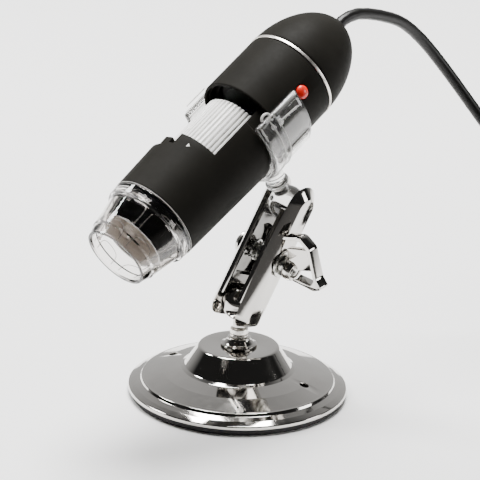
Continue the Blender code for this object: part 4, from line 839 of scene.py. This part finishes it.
RIBS = 52
RIB_TIP = 12.1
RIB_ROOT = 11.1
RIB_SHAPE = (
    (-0.5, RIB_ROOT), (-0.41, RIB_ROOT + 0.15), (-0.31, RIB_TIP - 0.12), (-0.2, RIB_TIP), (0.2, RIB_TIP),
    (0.31, RIB_TIP - 0.12), (0.41, RIB_ROOT + 0.15))
WHEEL_BORE = 9.8
WHEEL_BACK, WHEEL_FRONT = -25.4, -48.2
WHEEL_EDGE = 0.5
EDGE_SHARE = 0.955


def wheel():
    points = [(r, 2 * pi * (i + turn) / RIBS) for i in range(RIBS) for turn, r in RIB_SHAPE]
    sides = ((WHEEL_BACK, EDGE_SHARE), (WHEEL_BACK - WHEEL_EDGE, 1), (WHEEL_FRONT + WHEEL_EDGE, 1),
             (WHEEL_FRONT, EDGE_SHARE))
    rings = [[around(r * grow, z, a) for r, a in points] for z, grow in sides]
    rings += [[around(WHEEL_BORE, z, a) for r, a in points] for z in (WHEEL_FRONT, WHEEL_BACK)]
    shape = skin(rings, True)
    dress(to_piece(shape, "dial_wheel", "white", SCOPE, 30), "wheel", "white_plastic", "focus_wheel")


# Clear cap's taper, and the six pockets of the lamp behind it
CAP_SHOULDER = 71
CAP_TAPER = 0.28
CAP_WALL = 12.35
CAP_FLANGE = 14.5
POCKETS = [-82 + 60 * k for k in range(6)]
SKIRT_R = 11.75
FACE_FRONT, FACE_BACK = -70.5, -68.1
SKIRT_WALL = 0.7
POCKET_HALF = 24
POCKET_DEPTH = 0.45
POCKET_BACK, POCKET_FRONT = 69.2, 76.3
POCKET_RUN = 2.0
LEDS = 8
LED_RING = 8.5
MARK_BACK, MARK_FRONT = 73.8, 80.3


def tapered(r, s):
    return r if s < CAP_SHOULDER else r - (s - CAP_SHOULDER) * CAP_TAPER


def on_skin(spots, r, lift=0.0):
    """Points of (angle, station) spots on the taper."""
    return [Vector(around(tapered(r, s) + lift, -s, radians(a))) for a, s in spots]


def nose():
    outline = fillet([
        (12.8, -63.7, 0.1), (12.8, -66.7, 0.1), (14.35, -66.7, 0.15), (CAP_FLANGE, -67.1, 0.2),
        (14.2, -70.2, 0.5), (13.3, -70.7, 0.4), (12.1, -76.5, 0.3), (11.55, -80.3, 0.2), (11.1, -80.8, 0.3),
        (10.35, -83.4, 0.2), (10.3, -83.9, 0.12), (9.5, -83.9, 0.12), (9.4, -83.2, 0.2), (10.4, -78.0, 0.4),
        (CAP_WALL, -71.0, 0.5), (12.3, -67.2, 0.3), (11.8, -66.9, 0.1), (11.8, -63.7, 0.1)], 6)
    shape = lathe_shape(outline, 160)
    for middle in (8, 188):
        for side in (-1.6, 1.6):
            edge = [(middle + side, MARK_BACK), (middle + side, MARK_FRONT)]
            tube_shape(on_skin(edge, CAP_WALL, -0.1), 0.2, 8, shape)
        end = [(middle - 2.4, MARK_FRONT), (middle + 2.4, MARK_FRONT)]
        tube_shape(on_skin(end, CAP_WALL, -0.1), 0.3, 8, shape)
    for middle in (-50, 70, 190):
        tube_shape(on_skin([(middle - 2, 80.4), (middle + 2, 80.4)], CAP_WALL, 0.1), 0.4, 8, shape)
    dress(to_piece(shape, "clear_nose", "clear", SCOPE, 35), "cap", "clear_plastic", "nose_cap")
    shape = bmesh.new()
    for middle in POCKETS:
        turns = [pi * i / 14 for i in range(15)]
        spots = [(middle + 21 * cos(t), 82.6 - 4.6 * sin(t) ** 0.45) for t in turns]
        tube_shape(on_skin(spots, CAP_WALL, 0.05), 0.09, 8, shape)
    dress(to_piece(shape, "nose_steps", "smoke", SCOPE, 50), "cap", "clear_plastic")
    seam = [Vector(around(CAP_FLANGE, -66.55, pi * i / 90)) for i in range(181)]
    # The seam's shape is real, and its whiter ridge finish is a painted highlight along the flange's edge
    dress(to_piece(tube_shape(seam, 0.11, 8), "nose_seam", "ridge", SCOPE, 50), "scope", "clear_plastic")


def arch(middle, half, low, high, count=16):
    """Pocket outline on the skirt, as (angle, station) points with a round top."""
    turns = [pi * i / count for i in range(count + 1)]
    top = [(middle + half * cos(t), low + half * 0.14 * (1 - sin(t))) for t in turns]
    return [(middle + half, high), *top, (middle - half, high)]


def lamp():
    """Dark glossy skirt with arched pockets, just inside the clear wall, and its face and LEDs."""
    angles = grid_values([-180, 180], 3.0)[:-1]
    stations = grid_values([66.9, 67.2, 76.2, 76.6], 1.2)

    def inner(a, s):
        return tapered(SKIRT_R, s) - SKIRT_WALL

    def outer(a, s):
        middle = (a - POCKETS[0] + 30) % 60 - 30
        share = max(0, 1 - (middle / POCKET_HALF) ** 2)
        run = min(1, max(0, (s - POCKET_BACK) / POCKET_RUN))
        dip = POCKET_DEPTH * run * share ** 0.3 if s < POCKET_FRONT else 0
        return tapered(SKIRT_R, s) - dip

    skirt = shell("lamp_skirt", angles, stations, lambda a, s: True, outer, inner, "gloss_black", True, 40)
    skirt.data.materials.append(MATERIALS["cream"])
    axis = SCOPE.to_3x3() @ Vector((0, 0, 1))
    middle = TO_METRES @ SCOPE.translation
    for face in skirt.data.polygons:
        away = face.center - middle
        away -= axis * away.dot(axis)
        if face.normal.dot(away) < -0.5 * away.length:
            face.material_index = 1
    dress(skirt, "scope", "gloss_black")
    rims = bmesh.new()
    for middle in POCKETS:
        tube_shape(on_skin(arch(middle, 25, 68.4, 76.5), SKIRT_R), 0.16, 8, rims)
    dress(to_piece(rims, "lamp_arches", "steel", SCOPE, 40), "scope", "steel")
    face = lathe("lamp_face", fillet([
        (11.1, FACE_BACK, 0.2), (11.1, FACE_FRONT + 0.2, 0.4), (10.5, FACE_FRONT, 0.3),
        (6.4, FACE_FRONT, 0.3), (5.8, FACE_FRONT + 0.5, 0.3), (5.8, FACE_BACK, 0.1)], 4), "cream", SCOPE, 128)
    for i in range(LEDS):
        spot = SCOPE @ shift(*around(LED_RING, 0, 2 * pi * (i + 0.5) / LEDS))
        drill = [(0, -72), (2.1, -72), (2.1, FACE_FRONT), (1.6, -69.6), (1.6, -67), (0, -67)]
        carve(face, lathe("drill", drill, "iron", spot, 36, False))
        bulb = lathe(f"lamp_{i + 1}", [
            *quarter(1.3, -1.3, -69.2, 8), (1.5, -69.2), (1.5, FACE_BACK), (0, FACE_BACK)],
            "led", spot, 32, False)
        dress(bulb, "scope", "led_white", f"led_{i + 1}")
    round_edges(face, 0.1, 2, 40)
    dress(face, "scope", "gloss_black", "led_reflector")


def optics():
    lens = lathe("objective", [
        (0, -59.0), (1.4, -58.93), (2.6, -58.72), (3.4, -58.45), (4.0, -58.2), (4.0, -56.7), (0, -56.7)],
        "lens", SCOPE, 64, False)
    dress(lens, "lens", "lens_glass", "front_lens")


# Clear holder
CLIP_INNER, CLIP_OUTER = 16.0, 17.6
CLIP_RIGHT, CLIP_LEFT = -29.0, -163.0 + 360
CLIP_BACK, CLIP_FRONT = 11.7, 30.3
BEAD_REACH = 3.2
BEAD_IN = 2.5
NECK_FOOT = 27.2


def holder():
    angles = grid_values([CLIP_RIGHT, CLIP_RIGHT + 4, CLIP_RIGHT + 16, CLIP_LEFT - 6, CLIP_LEFT], 2.2)
    stations = grid_values([CLIP_BACK, CLIP_BACK + 0.6, CLIP_FRONT - 0.6, CLIP_FRONT], 1.2)

    def bump(gap, reach):
        return max(0, 1 - abs(gap) / reach)

    def outer(a, s):
        r = CLIP_OUTER - (0.35 if s in (CLIP_BACK, CLIP_FRONT) else 0)
        r += 0.55 * sin(pi / 2 * bump(a - CLIP_RIGHT - BEAD_IN, BEAD_REACH))
        r += 0.5 * sin(pi / 2 * bump(a - CLIP_LEFT + BEAD_IN, BEAD_REACH))
        if CLIP_RIGHT + 6 < a < CLIP_RIGHT + 60:
            r += 0.35 * bump(s - 23.0 - 0.03 * (a - CLIP_RIGHT), 0.9)
        return r

    def inner(a, s):
        return CLIP_INNER + (0.2 if s in (CLIP_BACK, CLIP_FRONT) else 0)

    clip = shell("clip_clear", angles, stations, lambda a, s: True, outer, inner, "clip", False, 30)
    round_edges(clip, 0.45, 3, 50)
    down = SCOPE @ shift(0, 0, -NECK_BEHIND) @ about(-pi / 2, "X")
    neck = lathe("neck", ball_arc(NECK_REACH, pi - 0.412, 30) + fillet([
        (NECK_R, 30.8, 0), (NECK_R, NECK_FOOT, 0.4), (3.8, NECK_FOOT, 0.25), (3.8, NECK_FOOT - 1.0, 0.25),
        (3.0, NECK_FOOT - 1.5, 0.8), (3.4, 22.0, 2.0), (6.2, 16.6, 0), (0, 16.6, 0)], 5, False)[1:],
        "clip", down, 72, False)
    carve(clip, neck, operation="UNION")
    sharpen(clip.data, 38)
    dress(clip, "holder", "clear_plastic", "holder_cradle")


def ridges():
    """Fine raised lines, lobe and tab that the holder carries on its outside. The raised shape is real, and
    their whiter, less clear finish is a painted highlight along them.
    """
    shape = bmesh.new()

    def line(spots, radius, lift=0.1):
        path = []
        for (a1, s1), (a2, s2) in zip(spots, spots[1:]):
            count = max(1, round((abs(a2 - a1) * 0.3 + abs(s2 - s1)) / 0.6))
            path += [(a1 + (a2 - a1) * i / count, s1 + (s2 - s1) * i / count) for i in range(count)]
        path.append(spots[-1])
        tube_shape([Vector(around(CLIP_OUTER + lift, -s, radians(a))) for a, s in path], radius, 8, shape)

    line([(-25.5, 12.6), (-26.5, 13.8), (-27.5, 22.8)], 0.32, 0.35)
    line([(-15, 14.6), (-17, 22.4)], 0.26)
    for station in (22.8, 25.3):
        line([(-27.5, station), (75, station - 0.6)], 0.26)
    line([(-29.8 + 3.4 * cos(pi * i / 8), 25.6 + 1.6 * sin(pi * i / 8 + pi))
          for i in range(-2, 13)], 0.42, 0.15)
    line([(-26.0 + 1.8 * cos(pi * i / 6), 24.0 + 0.8 * sin(pi * i / 6)) for i in range(12)], 0.3, 0.3)
    line([(-11, 29.6), (-25, 29.2), (-27, 29.4), (-27.5, 27.6)], 0.3)
    line([(-161.5, 18.6), (-161.5, 29.6)], 0.4, -0.35)
    line([(-152, 20.5), (-152, 29.0)], 0.2, -0.2)
    dress(to_piece(shape, "clip_ridges", "ridge", SCOPE, 50), "holder", "clear_plastic")


# Cable and plug
GROOVES = 5
GROOVE_FROM, GROOVE_STEP, GROOVE_WIDTH = 11.5, 1.6, 0.8
GROOVE_SIDE = 8.2
METAL_SIZE = (12.0, 4.5, 0.5)
METAL_ENDS = (23.6, 35.4)
TIE_TURN = 325
TIE_HALF = 1.5


def rounded(width, height, radius, at):
    """Ring across the plug, at a distance along it."""
    corners = ((-1, -1), (1, -1), (1, 1), (-1, 1))
    return [(at, x, y) for x, y in fillet([(a * width / 2, b * height / 2, radius) for a, b in corners], 6)]


def plug(turn):
    body = loft("plug_grip", [
        rounded(9.0, 6.0, 2.0, 0.3), rounded(10.2, 6.8, 2.2, 1.0), rounded(11.6, 7.2, 2.2, 4.0),
        rounded(14.8, 7.5, 2.0, 8.0), rounded(15.5, 7.6, 1.6, 11.0), rounded(15.5, 7.6, 1.6, 22.4),
        rounded(14.9, 7.0, 1.4, 23.3)], "plug", turn, 30)

    def cut(piece, low, high):
        carve(piece, block("cut", low, high, "iron", turn))

    for k in range(GROOVES):
        for side in (-GROOVE_SIDE, GROOVE_SIDE):
            x = GROOVE_FROM + GROOVE_STEP * k
            cut(body, (x, side - 0.9, -2.4), (x + GROOVE_WIDTH, side + 0.9, 2.4))
    dress(body, "scope", "plug_black", "usb_plug_body")
    ends = [rounded(*METAL_SIZE, x) for x in METAL_ENDS]
    metal = loft("plug_metal", ends, "steel", turn, 30)
    cut(metal, (24.1, -5.5, 0.1), (36, 5.5, 1.75))
    cut(metal, (34.0, -5.5, -1.75), (36, 5.5, 1.75))
    for side in (-2.6, 2.6):
        cut(metal, (27.5, side - 1.1, 1.0), (29.8, side + 1.1, 3))
    dress(metal, "scope", "steel", "usb_plug_shell")
    return body, metal


def tie():
    """Flat band round both layers of the coil."""
    half = (COIL_PITCH * COIL_TURNS / 2 + CABLE_R + TIE_PLAY) * PER_METRE
    low = TIE_FLOOR * PER_METRE
    high = (TIE_FLOOR + 2 * TIE_PLAY + 2 * CABLE_R + LAYER_RISE) * PER_METRE

    def ring(grow, top_round, z):
        x, bottom, top = half + grow, low - grow, high + grow
        corners = [(-x, bottom, 1.2), (x, bottom, 1.2), (x, top, top_round), (-x, top, top_round)]
        return [(a, b, z) for a, b in fillet(corners, 6)]

    spec = ((0.62, 1.8, -1), (0.8, 1.8, -0.8), (0.8, 1.8, 0.8), (0.62, 1.8, 1), (0, 1.6, 1), (0, 1.6, -1))
    shape = skin([ring(grow, top_round, TIE_HALF * z) for grow, top_round, z in spec], True)
    place = Matrix.Translation(Vector((*COIL_MIDDLE, 0)) * PER_METRE) @ about(radians(TIE_TURN), "Z")
    place = place @ shift(COIL_R * PER_METRE, 0, 0) @ about(pi / 2, "X")
    return dress(to_piece(shape, "lead_tie", "plug", place, 30), "scope", "cable_black", "cable_tie")


def cable():
    points, way = cable_line()
    data = bpy.data.curves.new("usb_lead", "CURVE")
    data.dimensions = "3D"
    data.bevel_depth = CABLE_R
    data.bevel_resolution = 6
    data.use_fill_caps = True
    data.resolution_u = 3
    line = data.splines.new("POLY")
    line.points.add(len(points) - 1)
    for slot, point in zip(line.points, points):
        slot.co = (*point, 1)
    line.use_smooth = True
    lead = show(bpy.data.objects.new("usb_lead", data))
    data.materials.append(MATERIALS["cable"])
    dress(lead, "scope", "cable_black", "usb_cable", "cable_coil")
    body, metal = plug(Matrix.Translation(points[-1] * PER_METRE) @ about(atan2(way.y, way.x), "Z"))
    band = tie()
    tuple(points[0])


# Pieces that stay as the solids have them, and their finishes
STAY = {
    "base_weight": "iron", "post_nut": "steel", "chassis": "inner_black", "sensor_board": "board",
    "image_sensor": "sensor", "main_board": "board", "board_plug": "white", "tact_switch": "inner_black",
    "switch_board": "board", "chassis_screw_1": "steel", "chassis_screw_2": "steel",
    "lamp_tube": "inner_black", "led_board": "board", "lens_barrel": "inner_black",
}


def finish_kept():
    for name, finish in STAY.items():
        item = bpy.data.objects[name]
        if item.material_slots:
            for slot in item.material_slots:
                slot.material = MATERIALS[finish]
        else:
            item.data.materials.append(MATERIALS[finish])


# Floor and light, in metres
FLOOR_HALF = 6.0
TOWARDS_CAMERA = (0.69, -0.724, 0)
AWAY_FROM_CAMERA = Vector((-0.69, 0.71, 0.10)).normalized()
# Where each change of tone starts and ends, and the tones there
FLOOR_TURN = (0.080, 0.115, 0, 1)
SKY_TURN = (0.35, 1.0, 0.02, 0.75)
# Name, place, aim, size and power
LAMPS = (
    ("top", (-0.30, 0.25, 1.75), (-0.1, 0.1, 0.0), 1.0, 105),
    ("key", (-0.85, -0.25, 0.90), (0, 0, 0.06), 0.25, 8),
    ("side", (0.75, 0.60, 0.30), (0, 0.02, 0.06), 0.30, 2.0),
)


def along(tree, spot, way, near, far, least, most):
    """Value that goes from least to most while the spot goes from near to far."""
    place = tree.nodes.new("ShaderNodeTexCoord")
    dot = tree.nodes.new("ShaderNodeVectorMath")
    dot.operation = "DOT_PRODUCT"
    dot.inputs[1].default_value = way
    ramp = tree.nodes.new("ShaderNodeMapRange")
    for key, value in (("From Min", near), ("From Max", far), ("To Min", least), ("To Max", most)):
        ramp.inputs[key].default_value = value
    tree.links.new(place.outputs[spot], dot.inputs[0])
    tree.links.new(dot.outputs["Value"], ramp.inputs["Value"])
    return ramp.outputs["Result"]


def floor_material():
    """Pale floor that turns darker in front of the picture, on the camera's side."""
    made = node_material("m_floor", (0.95, 0.945, 0.935), 0.7, 0.0, (0.01, 2.0), (0.05, 4.0))
    tree = made.node_tree
    colour = tree.nodes["Principled BSDF"].inputs["Base Color"]
    mix = tree.nodes.new("ShaderNodeMix")
    mix.data_type = "RGBA"
    mix.inputs["B"].default_value = (0.022, 0.021, 0.020, 1)
    tree.links.new(along(tree, "Object", TOWARDS_CAMERA, *FLOOR_TURN), mix.inputs["Factor"])
    tree.links.new(colour.links[0].from_socket, mix.inputs["A"])
    tree.links.new(mix.outputs["Result"], colour)
    return made


def stage():
    shape = bmesh.new()
    bmesh.ops.create_grid(shape, x_segments=8, y_segments=8, size=FLOOR_HALF)
    data = bpy.data.meshes.new("floor")
    shape.to_mesh(data)
    shape.free()
    floor = show(bpy.data.objects.new("floor", data))
    data.materials.append(floor_material())
    world = bpy.data.worlds.new("studio")
    bpy.context.scene.world = world
    world.use_nodes = True
    tree = world.node_tree
    light = along(tree, "Generated", AWAY_FROM_CAMERA, *SKY_TURN)
    tree.links.new(light, tree.nodes["Background"].inputs["Color"])
    for name, place, aim, size, power in LAMPS:
        data = bpy.data.lights.new(name, "AREA")
        data.size = size
        data.energy = power
        made = show(bpy.data.objects.new(name, data))
        made.location = place
        made.rotation_euler = (Vector(aim) - Vector(place)).to_track_quat("-Z", "Y").to_euler()


make_camera()
cable()
base()
clamp()
handle()
dome()
sleeve()
barrel()
wheel()
nose()
lamp()
optics()
holder()
ridges()
finish_kept()
stage()
